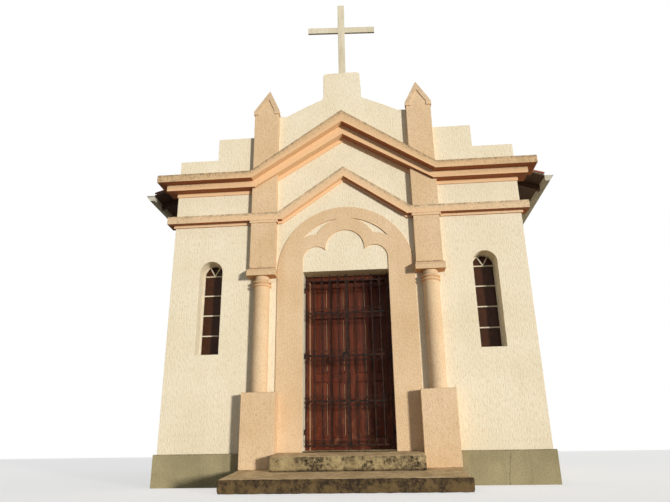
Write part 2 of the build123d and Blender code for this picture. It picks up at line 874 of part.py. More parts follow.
# Window frames: an arched light over four panes, with a fan of two bars in the head.
spring = window_height - window_width / 2
pane_height = spring / pane_count


def fan_panes(radius):
    """Draw the three panes of a half-round head, between two leaning bars."""
    with BuildSketch() as panes:
        Circle(radius)
        with Locations((0, -radius)):
            Rectangle(2 * radius, 2 * radius, mode=Mode.SUBTRACT)
        for lean in (-fan_lean, fan_lean):
            Rectangle(sash_bar, 2 * radius, rotation=lean, mode=Mode.SUBTRACT)
    return panes.sketch


def window_frame(x):
    """Draw the frame and bars of one window in the current sketch."""
    arched_light(x, window_sill, window_width, window_height)
    inner_width = window_width - 2 * sash_frame
    for row in range(pane_count):
        low = window_sill + row * pane_height + (sash_frame if row == 0 else sash_bar / 2)
        high = window_sill + (row + 1) * pane_height - sash_bar / 2
        with Locations((x, (low + high) / 2)):
            Rectangle(inner_width, high - low, mode=Mode.SUBTRACT)
    with Locations((x, window_sill + spring + sash_bar / 2)):
        add(fan_panes(inner_width / 2), mode=Mode.SUBTRACT)


with BuildPart() as front_window_frames:
    with BuildSketch(front_face.offset(-window_setback)):
        for side, sign in sides:
            window_frame(sign * window_centre)
    extrude(amount=-sash_depth)
finish(front_window_frames.part, "front_window_frames")

side_sash_face = half_width - wall_thickness / 2
with BuildPart() as side_window_frames:
    for side, sign in sides:
        with BuildSketch(Plane.YZ.offset(sign * side_sash_face)):
            for place in window_places:
                window_frame(side_window_middle + place)
        extrude(amount=-sign * sash_depth)
finish(side_window_frames.part, "side_window_frames")



def glass_sheet(x):
    """Draw one pane's sheet in the current sketch, its head snapped to straight edges behind the frame."""
    with Locations((x, window_sill + spring / 2)):
        Rectangle(window_width, spring)
    with Locations((x, window_sill + spring)):
        RegularPolygon(window_width / 2, glass_sides)


with BuildPart() as window_glass:
    with BuildSketch(front_face.offset(-(window_setback + sash_depth))):
        for side, sign in sides:
            glass_sheet(sign * window_centre)
    extrude(amount=-glass_thickness)
    for side, sign in sides:
        with BuildSketch(Plane.YZ.offset(sign * (side_sash_face - sash_depth))):
            for place in window_places:
                glass_sheet(side_window_middle + place)
        extrude(amount=-sign * glass_thickness)
finish(window_glass.part, "window_glass")

# Door frame at the inner side of the doorway, rebated for the two leaves.
frame_front = front_thickness - frame_depth
leaf_back = front_thickness
leaf_front = leaf_back - leaf_thickness
with BuildPart() as door_frame:
    for border, depth in ((frame_width, frame_depth),
                          (frame_width + frame_stop, leaf_front - leaf_gap - frame_front)):
        with BuildSketch(front_face.offset(-frame_front)):
            with Locations((0, (floor_level + door_head) / 2)):
                Rectangle(door_width, door_height)
            with Locations((0, (floor_level + door_head - border) / 2)):
                Rectangle(door_width - 2 * border, door_height - border, mode=Mode.SUBTRACT)
        extrude(amount=-depth)
finish(door_frame.part, "door_frame")

# Two wooden leaves that open inwards, each with raised panels on both faces: a short row over
# two tall ones, between a frieze rail and a lock rail.
leaf_hinge_edge = half_door - frame_width - leaf_gap
leaf_bottom = floor_level + leaf_gap
leaf_top = door_head - frame_width - leaf_gap
leaf_width = leaf_hinge_edge - leaf_centre_gap
lock_rail = floor_level + lock_rail_lift
frieze_rail = floor_level + frieze_rail_lift
panel_width = (leaf_width - (panel_columns + 1) * stile_width) / panel_columns
panel_columns_x = [leaf_centre_gap + stile_width + panel_width / 2 + index * (panel_width + stile_width)
                   for index in range(panel_columns)]
panel_spans = (
    (leaf_bottom + bottom_rail_width, lock_rail - door_rail_width / 2),
    (lock_rail + door_rail_width / 2, frieze_rail - door_rail_width / 2),
    (frieze_rail + door_rail_width / 2, leaf_top - top_rail_width),
)
knuckle_y = leaf_back + knuckle_radius + knuckle_offset
hinge_plate_y = leaf_back + hinge_plate / 2
knuckle_places = [leaf_bottom + (leaf_top - leaf_bottom) * (2 * index + 1) / (2 * door_hinge_count)
                  for index in range(door_hinge_count)]


def door_panels(depth, side_sign, border):
    """Draw the panels of one leaf at a depth in the wall, each smaller by a border all round."""
    with BuildSketch(front_face.offset(-depth)) as panels:
        for x in panel_columns_x:
            for low, high in panel_spans:
                with Locations((side_sign * x, (low + high) / 2)):
                    Rectangle(panel_width - 2 * border, high - low - 2 * border)
    return panels.sketch


for side, sign in sides:
    with BuildPart() as wood_door:
        with BuildSketch(Plane.XY.offset(leaf_bottom)):
            with BuildLine():
                Polyline(
                    (sign * leaf_centre_gap, leaf_back),
                    (sign * leaf_hinge_edge, leaf_back),
                    (sign * leaf_hinge_edge, leaf_front),
                    (sign * (leaf_centre_gap + leaf_bevel), leaf_front),
                    close=True,
                )
            make_face()
        extrude(amount=leaf_top - leaf_bottom)
        for face_y, inward in ((leaf_front, -1), (leaf_back, 1)):
            extrude(door_panels(face_y, sign, 0), amount=inward * panel_recess, mode=Mode.SUBTRACT)
            extrude(door_panels(face_y - inward * panel_recess, sign, panel_margin),
                    amount=-inward * panel_recess, taper=panel_taper)
        for height in knuckle_places:
            with BuildSketch(Plane.XY.offset(height - knuckle_length / 2)):
                with Locations((sign * leaf_hinge_edge, knuckle_y)):
                    RegularPolygon(knuckle_radius, turned_sides)
                with Locations((sign * (leaf_hinge_edge - hinge_plate_width / 2), hinge_plate_y)):
                    Rectangle(hinge_plate_width, hinge_plate)
                with Locations((sign * leaf_hinge_edge, knuckle_y)):
                    RegularPolygon(knuckle_pin + pin_clearance, turned_sides, mode=Mode.SUBTRACT)
            extrude(amount=knuckle_length)
    finish(wood_door.part, f"wood_door_{side}")

# Butt hinges of the wooden doors: plates on the back of the frame, end knuckles, and a pin.
with BuildPart() as door_hinges:
    for side, sign in sides:
        for height in knuckle_places:
            for end in (-1, 1):
                low = height + end * (knuckle_length / 2 + pin_clearance)
                with BuildSketch(Plane.XY.offset(low)):
                    with Locations((sign * leaf_hinge_edge, knuckle_y)):
                        RegularPolygon(knuckle_radius, turned_sides)
                    with Locations((sign * (leaf_hinge_edge + hinge_plate_width / 2), hinge_plate_y)):
                        Rectangle(hinge_plate_width, hinge_plate)
                extrude(amount=end * knuckle_end)
            with BuildSketch(Plane.XY.offset(height - knuckle_length / 2 - pin_clearance)):
                with Locations((sign * leaf_hinge_edge, knuckle_y)):
                    RegularPolygon(knuckle_pin, turned_sides)
            extrude(amount=knuckle_length + 2 * pin_clearance)
finish(door_hinges.part, "door_hinges")

# Iron gates in front of the wooden doors, hung on hooks in the jambs and opening outwards. Each has
# two stiles, four bars and five rails, with a bent scroll in every bay above and below the rails.
pivot_x = half_door - gate_pivot_inset
gate_low = floor_level + gate_bottom
gate_high = door_head - gate_top
gate_outer = pivot_x - barrel_radius + barrel_weld
gate_inner = gate_centre_gap / 2
gate_middle = (gate_inner + gate_outer) / 2
bar_pitch = (gate_outer - gate_inner - gate_stile) / (gate_bars + 1)
bar_places = [gate_inner + gate_stile / 2 + index * bar_pitch for index in range(gate_bars + 2)]
bay_centres = [(low + high) / 2 for low, high in zip(bar_places, bar_places[1:])]
scroll_half = (bar_pitch - gate_bar) / 2 - scroll_gap
gate_back = gate_setback + gate_thickness / 2
bottom_rail = gate_low + gate_rail / 2
top_rail = door_head - gate_top_rail_drop
middle_rails = [floor_level + lift for lift in gate_rail_lifts]
barrel_places = [floor_level + lift - barrel_length / 2 for lift in hook_lifts]
lock_level = middle_rails[1]
bolt_bottom = floor_level + bolt_clearance


def scroll(direction):
    """Draw one bar bent into a C, its back on a rail and its two ends curled in."""
    half = [(scroll_half * across, direction * scroll_height * away)
            for across, away in scroll_outside + scroll_inside]
    with BuildSketch() as bent_bar:
        with BuildLine():
            Polyline(half + [(-x, z) for x, z in half[::-1]], close=True)
        make_face()
    return bent_bar.sketch


with BuildPart() as grille:
    with BuildSketch(front_face.offset(-gate_back)):
        for place in bar_places:
            bar = gate_stile if place in (bar_places[0], bar_places[-1]) else gate_bar
            with Locations((place, (gate_low + gate_high) / 2)):
                Rectangle(bar, gate_high - gate_low)
        for height in [bottom_rail, *middle_rails, top_rail]:
            with Locations((gate_middle, height)):
                Rectangle(gate_outer - gate_inner, gate_rail)
        for direction, rails in ((1, [bottom_rail, *middle_rails]), (-1, [*middle_rails, top_rail])):
            with Locations(*[(x, z + direction * gate_rail / 2) for x in bay_centres for z in rails]):
                add(scroll(direction))
    extrude(amount=gate_thickness)

for side, sign in sides:
    with BuildPart() as gate:
        add(grille.part if sign > 0 else grille.part.mirror(Plane.YZ))
        for radius, mode in ((barrel_radius, Mode.ADD), (pin_radius + pin_clearance, Mode.SUBTRACT)):
            for height in barrel_places:
                with BuildSketch(Plane.XY.offset(height)):
                    with Locations((sign * pivot_x, gate_setback)):
                        RegularPolygon(radius, turned_sides)
                extrude(amount=barrel_length, mode=mode)
        if side == "left":
            with BuildSketch(front_face.offset(-(gate_setback + lock_depth / 2))):
                with Locations((sign * (gate_inner + lock_width / 2), lock_level)):
                    Rectangle(lock_width, lock_height)
            extrude(amount=lock_depth)
            with BuildSketch(Plane.XY.offset(bolt_bottom)):
                with Locations((sign * bar_places[0], gate_setback - gate_thickness / 2)):
                    RegularPolygon(bolt_radius, turned_sides)
            extrude(amount=bolt_length)
    finish(gate.part, f"gate_{side}")

with BuildPart() as gate_hooks:
    for side, sign in sides:
        for height in barrel_places:
            with BuildSketch(Plane.XY.offset(height - pin_clearance - hook_height)):
                with Locations((sign * (pivot_x + half_door) / 2, gate_setback)):
                    Rectangle(half_door - pivot_x, 2 * pin_radius)
                with Locations((sign * pivot_x, gate_setback)):
                    RegularPolygon(pin_radius, turned_sides)
            extrude(amount=hook_height)
            with BuildSketch(Plane.XY.offset(height - pin_clearance)):
                with Locations((sign * pivot_x, gate_setback)):
                    RegularPolygon(pin_radius, turned_sides)
            extrude(amount=barrel_length)
finish(gate_hooks.part, "gate_hooks")
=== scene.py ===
import random
from math import cos, pi, radians, sin, tan

import bmesh
import bpy
from mathutils import Matrix, Vector


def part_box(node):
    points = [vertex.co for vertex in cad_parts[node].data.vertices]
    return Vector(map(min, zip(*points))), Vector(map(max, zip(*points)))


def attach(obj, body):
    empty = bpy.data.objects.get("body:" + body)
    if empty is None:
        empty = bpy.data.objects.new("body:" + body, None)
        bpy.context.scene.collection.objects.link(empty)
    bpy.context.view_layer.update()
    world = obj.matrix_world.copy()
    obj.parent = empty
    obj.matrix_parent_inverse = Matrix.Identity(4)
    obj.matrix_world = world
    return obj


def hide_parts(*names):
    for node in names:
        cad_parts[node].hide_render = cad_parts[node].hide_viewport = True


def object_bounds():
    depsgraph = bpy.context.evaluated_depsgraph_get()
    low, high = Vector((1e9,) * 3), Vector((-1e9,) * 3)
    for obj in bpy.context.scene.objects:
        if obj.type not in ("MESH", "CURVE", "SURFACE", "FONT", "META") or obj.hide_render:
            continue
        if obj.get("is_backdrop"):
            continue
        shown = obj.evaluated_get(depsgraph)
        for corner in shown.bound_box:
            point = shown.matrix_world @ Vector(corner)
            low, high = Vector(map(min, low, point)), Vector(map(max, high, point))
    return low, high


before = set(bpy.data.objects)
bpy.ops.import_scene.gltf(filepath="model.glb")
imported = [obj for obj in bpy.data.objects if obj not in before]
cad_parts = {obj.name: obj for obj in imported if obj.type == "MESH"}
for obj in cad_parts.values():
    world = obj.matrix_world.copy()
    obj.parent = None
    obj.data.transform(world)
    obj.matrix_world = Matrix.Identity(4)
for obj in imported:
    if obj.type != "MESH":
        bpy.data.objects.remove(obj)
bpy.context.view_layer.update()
scene = bpy.context.scene
scene.view_settings.view_transform = "Standard"

# Camera: a hand camera held low in front of the steps, a little to the right of the doorway and
# tilted up at the cross. The lens keeps the photograph's angle of view over its 670 x 502 frame.
camera_place = Vector((0.487, -7.439, 0.464))
camera_tilt = radians(19.34)
camera_turn = radians(4.84)
camera_roll = radians(-0.88)
bpy.ops.object.camera_add(location=camera_place)
camera = bpy.context.object
camera.data.lens = 29.97
camera.data.sensor_width = 36
camera.matrix_world = (
    Matrix.Translation(camera_place)
    @ Matrix.Rotation(camera_turn, 4, "Z")
    @ Matrix.Rotation(pi / 2 + camera_tilt, 4, "X")
    @ Matrix.Rotation(camera_roll, 4, "Z")
)
scene.camera = camera

# Studio light: one broad soft key from the front right, level with the building so that it rakes
# across the mouldings as evening light does, and an even pale fill. The backdrop stays white.
key_side = radians(40)
key_height = radians(3.5)
key_width = radians(6)
key_direction = Vector((sin(key_side) * cos(key_height), -cos(key_side) * cos(key_height), sin(key_height)))
bpy.ops.object.light_add(type="SUN")
key = bpy.context.object
key.data.energy = 3.2
key.data.color = (1, 0.97, 0.91)
key.data.angle = key_width
key.rotation_euler = key_direction.to_track_quat("Z", "Y").to_euler()

fill_strength = 0.3
fill_colour = (0.88, 0.94, 1, 1)
white = (1, 1, 1, 1)
world = bpy.data.worlds.new("studio")
scene.world = world
world.use_nodes = True
world.node_tree.nodes.clear()


def add_node(tree, kind, settings=None, links=None):
    """Add one node, set its properties and its sockets, and link other nodes' outputs to it."""
    node = tree.nodes.new(kind)
    for name, value in (settings or {}).items():
        if isinstance(name, int) or name in node.inputs:
            node.inputs[name].default_value = value
        else:
            setattr(node, name, value)
    for name, source in (links or {}).items():
        tree.links.new(source, node.inputs[name])
    return node


tree = world.node_tree
rays = add_node(tree, "ShaderNodeLightPath").outputs
seen = add_node(tree, "ShaderNodeMath", {"operation": "MAXIMUM"},
                {0: rays["Is Camera Ray"], 1: rays["Is Glossy Ray"]}).outputs[0]
seen = add_node(tree, "ShaderNodeMath", {"operation": "MAXIMUM"},
                {0: seen, 1: rays["Is Transmission Ray"]}).outputs[0]
fill = add_node(tree, "ShaderNodeBackground", {"Color": fill_colour, "Strength": fill_strength})
backdrop = add_node(tree, "ShaderNodeBackground", {"Color": white, "Strength": 1})
mixed = add_node(tree, "ShaderNodeMixShader", {}, {0: seen, 1: fill.outputs[0], 2: backdrop.outputs[0]})
add_node(tree, "ShaderNodeOutputWorld", {}, {"Surface": mixed.outputs[0]})

# Studio floor: one pale sheet under everything, matt, so that the chapel stands in its own shadow
# and nothing shines back at it. It isn't part of the chapel, and only the camera sees its lift.
floor_reach = 60
floor_drop = 0.001
floor_lift = 0.55


def colour(code):
    """Turn an sRGB hex value into the linear colour that a socket takes."""
    channels = [int(code[start:start + 2], 16) / 255 for start in (1, 3, 5)]
    return [c / 12.92 if c <= 0.04045 else ((c + 0.055) / 1.055) ** 2.4 for c in channels] + [1]


def new_material(name, roughness, ior=1.5):
    """Start a material: its node tree, its shader and the object's own coordinates."""
    material = bpy.data.materials.new(name)
    material.use_nodes = True
    nodes = material.node_tree
    shader = nodes.nodes["Principled BSDF"]
    shader.inputs["Roughness"].default_value = roughness
    shader.inputs["IOR"].default_value = ior
    return material, nodes, shader, add_node(nodes, "ShaderNodeTexCoord").outputs["Object"]


bpy.ops.mesh.primitive_plane_add(size=floor_reach, location=(0, 0, -floor_drop))
studio_floor = bpy.context.object
studio_floor.name = "studio_floor"
floor_paper, nodes, shader, place = new_material("studio_paper", 0.95)
shader.inputs["Base Color"].default_value = colour("#b7b5b0")
shader.inputs["Emission Color"].default_value = white
rays = add_node(nodes, "ShaderNodeLightPath").outputs
pale = add_node(nodes, "ShaderNodeMath", {"operation": "MULTIPLY", 1: floor_lift},
                {0: rays["Is Camera Ray"]}).outputs[0]
nodes.links.new(pale, shader.inputs["Emission Strength"])
studio_floor.data.materials.append(floor_paper)
studio_floor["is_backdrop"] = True

# Walls: brick under a thrown sand and lime render, dragged upright while wet and limewashed cream.
# One skin runs round the hall and on up into the stepped gable, so the walls join without a line.
wall_nodes = ["front_gable", "front_wall_left", "front_wall_right", "front_wall_over_door",
              "left_wall", "right_wall", "back_wall", "cross_block"]
plinth_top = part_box("plinth_front")[1].z
weld = 0.0001
wall_wear = 0.012
flat_angle = radians(1)
sharp_angle = radians(30)
smooth_angle = radians(30)


def select(*pieces):
    """Select these objects and nothing else, and make the first one active."""
    bpy.ops.object.select_all(action="DESELECT")
    for piece in pieces:
        piece.select_set(True)
    bpy.context.view_layer.objects.active = pieces[0]


def weld_flat(piece):
    """Merge the corners that lie on each other, and the flat faces between them."""
    select(piece)
    bpy.ops.object.mode_set(mode="EDIT")
    bpy.ops.mesh.select_all(action="SELECT")
    bpy.ops.mesh.remove_doubles(threshold=weld)
    bpy.ops.mesh.dissolve_limited(angle_limit=flat_angle)
    bpy.ops.object.mode_set(mode="OBJECT")


def copy_node(node):
    """Copy a node's mesh into a new piece, and weld its loose triangles into flat faces."""
    piece = bpy.data.objects.new(f"{node}_finish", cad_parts[node].data.copy())
    bpy.context.collection.objects.link(piece)
    piece.data.materials.clear()
    select(piece)
    bpy.ops.mesh.customdata_custom_splitnormals_clear()
    weld_flat(piece)
    return piece


def apply_modifier(piece, kind, **settings):
    """Add one modifier with its settings, and apply it at once."""
    modifier = piece.modifiers.new(kind.lower(), kind)
    for name, value in settings.items():
        setattr(modifier, name, value)
    select(piece)
    bpy.ops.object.modifier_apply(modifier=modifier.name)


def wear_edges(piece, width, seated):
    """Round the free outer edges of a piece. An edge with both its ends where seated() is true stays."""
    shape = bmesh.new()
    shape.from_mesh(piece.data)
    weight = shape.edges.layers.float.new("bevel_weight_edge")
    for edge in shape.edges:
        if edge.is_convex and edge.calc_face_angle(0) > sharp_angle:
            edge[weight] = not all(seated(vertex.co) for vertex in edge.verts)
    shape.to_mesh(piece.data)
    shape.free()
    apply_modifier(piece, "BEVEL", limit_method="WEIGHT", width=width, segments=2)
    bpy.ops.object.shade_smooth_by_angle(angle=smooth_angle)
    apply_modifier(piece, "WEIGHTED_NORMAL", keep_sharp=True)


def hang(piece, material, body, slot, *nodes):
    """Give a finished piece its material and its body, and hide the nodes that it stands for. The slot is
    not used.
    """
    piece.data.materials.clear()
    piece.data.materials.append(material)
    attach(piece, body)
    if nodes:
        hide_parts(*nodes)


def paint(material, *nodes):
    """Give solids that stay as they are a material."""
    for node in nodes:
        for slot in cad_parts[node].material_slots:
            slot.material = material


def weathered_coat(name, fresh, faded, dirt, sheltered_and_glow, painted_shade_colour, streaks, pitting, grain, drag, relief):
    """Mix an old coat of limewash or paint, faded in patches, pitted and streaked, with lichen on tops.

    Undersides take the sheltered colour: paint kept clean out of the rain, brightened as a painted warm
    glow of bounced light. Level undersides, and those facing left that the key never reaches, take the
    painted shade colour. Grain, drag and relief are the width, length and height of the grains.
    """
    material, nodes, shader, place = new_material(name, 0.92, 1.45)
    patches = add_node(nodes, "ShaderNodeTexNoise", {"Scale": 1.3, "Detail": 6, "Roughness": 0.62},
                       {"Vector": place}).outputs["Fac"]
    patches = add_node(nodes, "ShaderNodeMapRange", {"From Min": 0.38, "From Max": 0.64},
                       {"Value": patches}).outputs[0]
    skin = add_node(nodes, "ShaderNodeMix", {"data_type": "RGBA", 6: colour(fresh), 7: colour(faded)},
                    {0: patches}).outputs[2]
    dragged = add_node(nodes, "ShaderNodeMapping", {"Scale": (1 / grain, 1 / grain, 1 / drag)},
                       {"Vector": place}).outputs[0]
    grit = add_node(nodes, "ShaderNodeTexNoise", {"Scale": 1, "Detail": 4, "Roughness": 0.7},
                    {"Vector": dragged}).outputs["Fac"]
    pits = add_node(nodes, "ShaderNodeMapRange", {"From Min": 0.52, "From Max": 0.34, "To Max": pitting},
                    {"Value": grit}).outputs[0]
    skin = add_node(nodes, "ShaderNodeMix", {"data_type": "RGBA", 7: colour(dirt)},
                    {0: pits, 6: skin}).outputs[2]
    upright = add_node(nodes, "ShaderNodeMapping", {"Scale": (6, 6, 0.5)}, {"Vector": place}).outputs[0]
    runs = add_node(nodes, "ShaderNodeTexNoise", {"Scale": 1, "Detail": 5, "Roughness": 0.6},
                    {"Vector": upright}).outputs["Fac"]
    runs = add_node(nodes, "ShaderNodeMapRange", {"From Min": 0.54, "From Max": 0.76, "To Max": streaks},
                    {"Value": runs}).outputs[0]
    skin = add_node(nodes, "ShaderNodeMix", {"data_type": "RGBA", 7: colour(dirt)},
                    {0: runs, 6: skin}).outputs[2]
    facing = add_node(nodes, "ShaderNodeNewGeometry").outputs["Normal"]
    sideways, _, facing = add_node(nodes, "ShaderNodeSeparateXYZ", {}, {0: facing}).outputs
    turned = add_node(nodes, "ShaderNodeMapRange", {"From Min": -0.2, "From Max": -0.5},
                      {"Value": facing}).outputs[0]
    below = add_node(nodes, "ShaderNodeAttribute", {"attribute_name": "below_fascia"}).outputs["Fac"]
    under = add_node(nodes, "ShaderNodeMath", {"operation": "MAXIMUM"}, {0: turned, 1: below}).outputs[0]
    # Undersides: paint kept clean out of the rain, brightened as a painted warm glow of bounced light.
    skin = add_node(nodes, "ShaderNodeMix", {"data_type": "RGBA", 7: colour(sheltered_and_glow)},
                    {0: under, 6: skin}).outputs[2]
    # Painted shade: level undersides, and undersides facing left away from the key, are darkened to the
    # shade colour.
    painted_shade_mask = add_node(nodes, "ShaderNodeMapRange", {"From Min": -0.92, "From Max": -0.98},
                    {"Value": facing}).outputs[0]
    shaded = add_node(nodes, "ShaderNodeMapRange", {"From Min": -0.3, "From Max": -0.45},
                      {"Value": sideways}).outputs[0]
    shaded = add_node(nodes, "ShaderNodeMath", {"operation": "MULTIPLY"}, {0: shaded, 1: turned}).outputs[0]
    painted_shade_mask = add_node(nodes, "ShaderNodeMath", {"operation": "MAXIMUM"}, {0: painted_shade_mask, 1: shaded}).outputs[0]
    skin = add_node(nodes, "ShaderNodeMix", {"data_type": "RGBA", 7: colour(painted_shade_colour)},
                    {0: painted_shade_mask, 6: skin}).outputs[2]
    level = add_node(nodes, "ShaderNodeMapRange", {"From Min": 0.25, "From Max": 0.8},
                     {"Value": facing}).outputs[0]
    edge = add_node(nodes, "ShaderNodeAttribute", {"attribute_name": "under_edge"}).outputs["Fac"]
    edge = add_node(nodes, "ShaderNodeMapRange", {"From Min": 0.62, "From Max": 1},
                    {"Value": edge}).outputs[0]
    wet = add_node(nodes, "ShaderNodeMath", {"operation": "MAXIMUM"}, {0: level, 1: edge}).outputs[0]
    spots = add_node(nodes, "ShaderNodeTexNoise", {"Scale": 16, "Detail": 6, "Roughness": 0.7},
                     {"Vector": place}).outputs["Fac"]
    spots = add_node(nodes, "ShaderNodeMapRange", {"From Min": 0.4, "From Max": 0.62, "To Max": 0.75},
                     {"Value": spots}).outputs[0]
    lichen = add_node(nodes, "ShaderNodeMath", {"operation": "MULTIPLY"}, {0: wet, 1: spots}).outputs[0]
    skin = add_node(nodes, "ShaderNodeMix", {"data_type": "RGBA", 7: colour("#4b443a")},
                    {0: lichen, 6: skin}).outputs[2]
    bump = add_node(nodes, "ShaderNodeBump", {"Strength": 0.8, "Distance": relief},
                    {"Height": grit}).outputs[0]
    nodes.links.new(skin, shader.inputs["Base Color"])
    nodes.links.new(bump, shader.inputs["Normal"])
    return material


# Sand and lime roughcast: a warm cream, quite matt and broken up by fine upright ridges. Its grains
# of about 6 mm are drawn 18 mm wide and 60 mm long, because the real ones are finer than a pixel.
cream_roughcast = weathered_coat(
    "cream_roughcast", fresh="#f3e7cd", faded="#ecdec0", dirt="#c0a778", sheltered_and_glow="#efe0c4",
    painted_shade_colour="#dccaa6", streaks=0.1, pitting=0.34, grain=0.018, drag=0.06, relief=0.012)

walls = copy_node(wall_nodes[0])
for node in wall_nodes[1:]:
    block = copy_node(node)
    apply_modifier(walls, "BOOLEAN", operation="UNION", object=block, solver="EXACT")
    bpy.data.objects.remove(block)
walls.name = "rendered_walls"
weld_flat(walls)
wear_edges(walls, wall_wear, lambda spot: spot.z < plinth_top + weld)
hang(walls, cream_roughcast, "building", "wall_render", *wall_nodes)

# Plinth: a smoother cement render a little proud of the walls, painted grey-green and splashed by
# rain off the ground. One crack runs up it, to the right of the steps.
crack_foot = 1.936
crack_slope = 0.116
crack_wander = 0.05
crack_edge = 0.006
crack_heart = 0.002

# Limewash on cement render: grey-green and matt, with grains of about 5 mm drawn 18 mm wide.
plinth_paint = weathered_coat(
    "plinth_limewash", fresh="#aea17b", faded="#988c69", dirt="#645a44", sheltered_and_glow="#998f70",
    painted_shade_colour="#8b8163", streaks=0.4, pitting=0.34, grain=0.018, drag=0.025, relief=0.007)
nodes = plinth_paint.node_tree
shader = nodes.nodes["Principled BSDF"]
painted = shader.inputs["Base Color"].links[0].from_socket
place = nodes.nodes["Texture Coordinate"].outputs["Object"]
across, depth, height = add_node(nodes, "ShaderNodeSeparateXYZ", {}, {0: place}).outputs
wander = add_node(nodes, "ShaderNodeTexNoise", {"Scale": 9, "Detail": 5, "Roughness": 0.6},
                  {"Vector": place}).outputs["Fac"]
wander = add_node(nodes, "ShaderNodeMapRange",
                  {"To Min": crack_foot - crack_wander, "To Max": crack_foot + crack_wander},
                  {"Value": wander}).outputs[0]
line = add_node(nodes, "ShaderNodeMath", {"operation": "MULTIPLY_ADD", 1: crack_slope},
                {0: height, 2: wander}).outputs[0]
apart = add_node(nodes, "ShaderNodeMath", {"operation": "SUBTRACT"}, {0: across, 1: line}).outputs[0]
apart = add_node(nodes, "ShaderNodeMath", {"operation": "ABSOLUTE"}, {0: apart}).outputs[0]
crack = add_node(nodes, "ShaderNodeMapRange",
                 {"From Min": crack_edge, "From Max": crack_heart, "To Max": 0.55},
                 {"Value": apart}).outputs[0]
at_front = add_node(nodes, "ShaderNodeMapRange", {"From Min": 0.3, "From Max": 0.2},
                    {"Value": depth}).outputs[0]
crack = add_node(nodes, "ShaderNodeMath", {"operation": "MULTIPLY"}, {0: crack, 1: at_front}).outputs[0]
skin = add_node(nodes, "ShaderNodeMix", {"data_type": "RGBA", 7: colour("#3d3527")},
                {0: crack, 6: painted}).outputs[2]
nodes.links.new(skin, shader.inputs["Base Color"])
paint(plinth_paint, "plinth_front", "plinth_back", "plinth_left", "plinth_right")

# Dressings: pilasters, columns, capitals, pedestals and pinnacles in brick, covered with a smooth
# float render and painted peach. They stand against the walls, so only their free edges are worn.
dressing_wear = 0.007
capital_wear = 0.004

# Paint on floated render: a matt peach, smoother than the walls. Its sand of about 4 mm is drawn
# 16 mm wide.
peach_render = weathered_coat(
    "peach_float_render", fresh="#e9cba5", faded="#dfbd93", dirt="#a98a62", sheltered_and_glow="#efc08e",
    painted_shade_colour="#d39d6c", streaks=0.25, pitting=0.4, grain=0.016, drag=0.024, relief=0.011)
for side in ("left", "right"):
    for part in ("pilaster", "capital", "column", "pedestal", "pinnacle"):
        node = f"{part}_{side}"
        piece = copy_node(node)
        worn = capital_wear if part == "capital" else dressing_wear
        wear_edges(piece, worn, lambda spot: abs(spot.y) < weld)
        hang(piece, peach_render, "building", "trim_render", node)

# Surround: a flat band of the same render round the doorway, with the three-lobed head cut out
# against a wooden template. Two blocks fill the band below the lobes, where its jambs are plain.
surround_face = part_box("arch_surround")[0].y
surround_wear = 0.005
jamb_inner = 0.6
jamb_outer = 0.75
plain_low = 2.2
plain_high = 2.5


def add_block(low, high, material=None):
    """Add a squared block between two opposite corners."""
    low, high = Vector(low), Vector(high)
    bpy.ops.mesh.primitive_cube_add(size=1, location=(low + high) / 2, scale=high - low)
    block = bpy.context.object
    bpy.ops.object.transform_apply()
    if material:
        block.data.materials.append(material)
    return block


piece = copy_node("arch_surround")
for sign in (-1, 1):
    low, high = sorted((sign * jamb_inner, sign * jamb_outer))
    patch = add_block((low, surround_face, plain_low), (high, 0, plain_high))
    apply_modifier(piece, "BOOLEAN", operation="UNION", object=patch, solver="EXACT")
    bpy.data.objects.remove(patch)
weld_flat(piece)
wear_edges(piece, surround_wear, lambda spot: spot.y > -weld)
hang(piece, peach_render, "building", "trim_render", "arch_surround")

# Mouldings: the string course and the deep upper cornice, run in cement with a template. Their
# upper edges stay wet, so a dark bloom hangs there and fades down the fascia.
string_wear = 0.003
cornice_wear = 0.005
fascia = 0.115

# How far the raking part reaches from the middle, and at which level the outer part ends.
string_rise = (0.965, 3.690)
cornice_rise = (1.350, 4.305)

# Painted cement, run wet: matt, grey-beige and dark-speckled on the fascias, and still salmon on the
# members below them, where no rain comes, brightened as a painted warm glow of bounced light. Their
# level undersides and those facing left are painted dark brown as painted shade. The specks of about
# 5 mm are drawn 22 mm wide.
cornice_render = weathered_coat(
    "stained_cornice_render", fresh="#d8b78d", faded="#c8a980", dirt="#6f5a40", sheltered_and_glow="#ecc294",
    painted_shade_colour="#a8663f", streaks=0.2, pitting=0.8, grain=0.022, drag=0.022, relief=0.008)
string_render = weathered_coat(
    "string_course_render", fresh="#e6caa4", faded="#d9bb92", dirt="#8a7152", sheltered_and_glow="#f0c69a",
    painted_shade_colour="#a8663f", streaks=0.2, pitting=0.6, grain=0.022, drag=0.022, relief=0.008)


def mark_edge(piece, kink, level, peak):
    """Mark how near each point lies to the top edge of the fascia, and whether it lies below it."""
    for name in ("under_edge", "below_fascia"):
        piece.data.attributes.new(name, "FLOAT", "POINT")
    for index, vertex in enumerate(piece.data.vertices):
        edge = level + max(0, kink - abs(vertex.co.x)) * (peak - level) / kink
        depth = (edge - vertex.co.z) / fascia
        piece.data.attributes["under_edge"].data[index].value = max(0, 1 - depth)
        piece.data.attributes["below_fascia"].data[index].value = float(depth > 1.05)


for name, rise, worn, render in (("string_course", string_rise, string_wear, string_render),
                                 ("upper_cornice", cornice_rise, cornice_wear, cornice_render)):
    for side in ("left", "right"):
        piece = copy_node(f"{name}_{side}")
        low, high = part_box(f"{name}_{side}")
        middle = low.x if side == "right" else high.x
        wear_edges(piece, worn, lambda spot: spot.y > -weld or abs(spot.x - middle) < weld)
        mark_edge(piece, *rise, high.z)
        hang(piece, render, "building", "trim_render", f"{name}_{side}")

# Cross: two lengths of squared timber halved into each other, painted white and weathered. It
# stands in the block on top of the gable.
cross_wear = 0.004

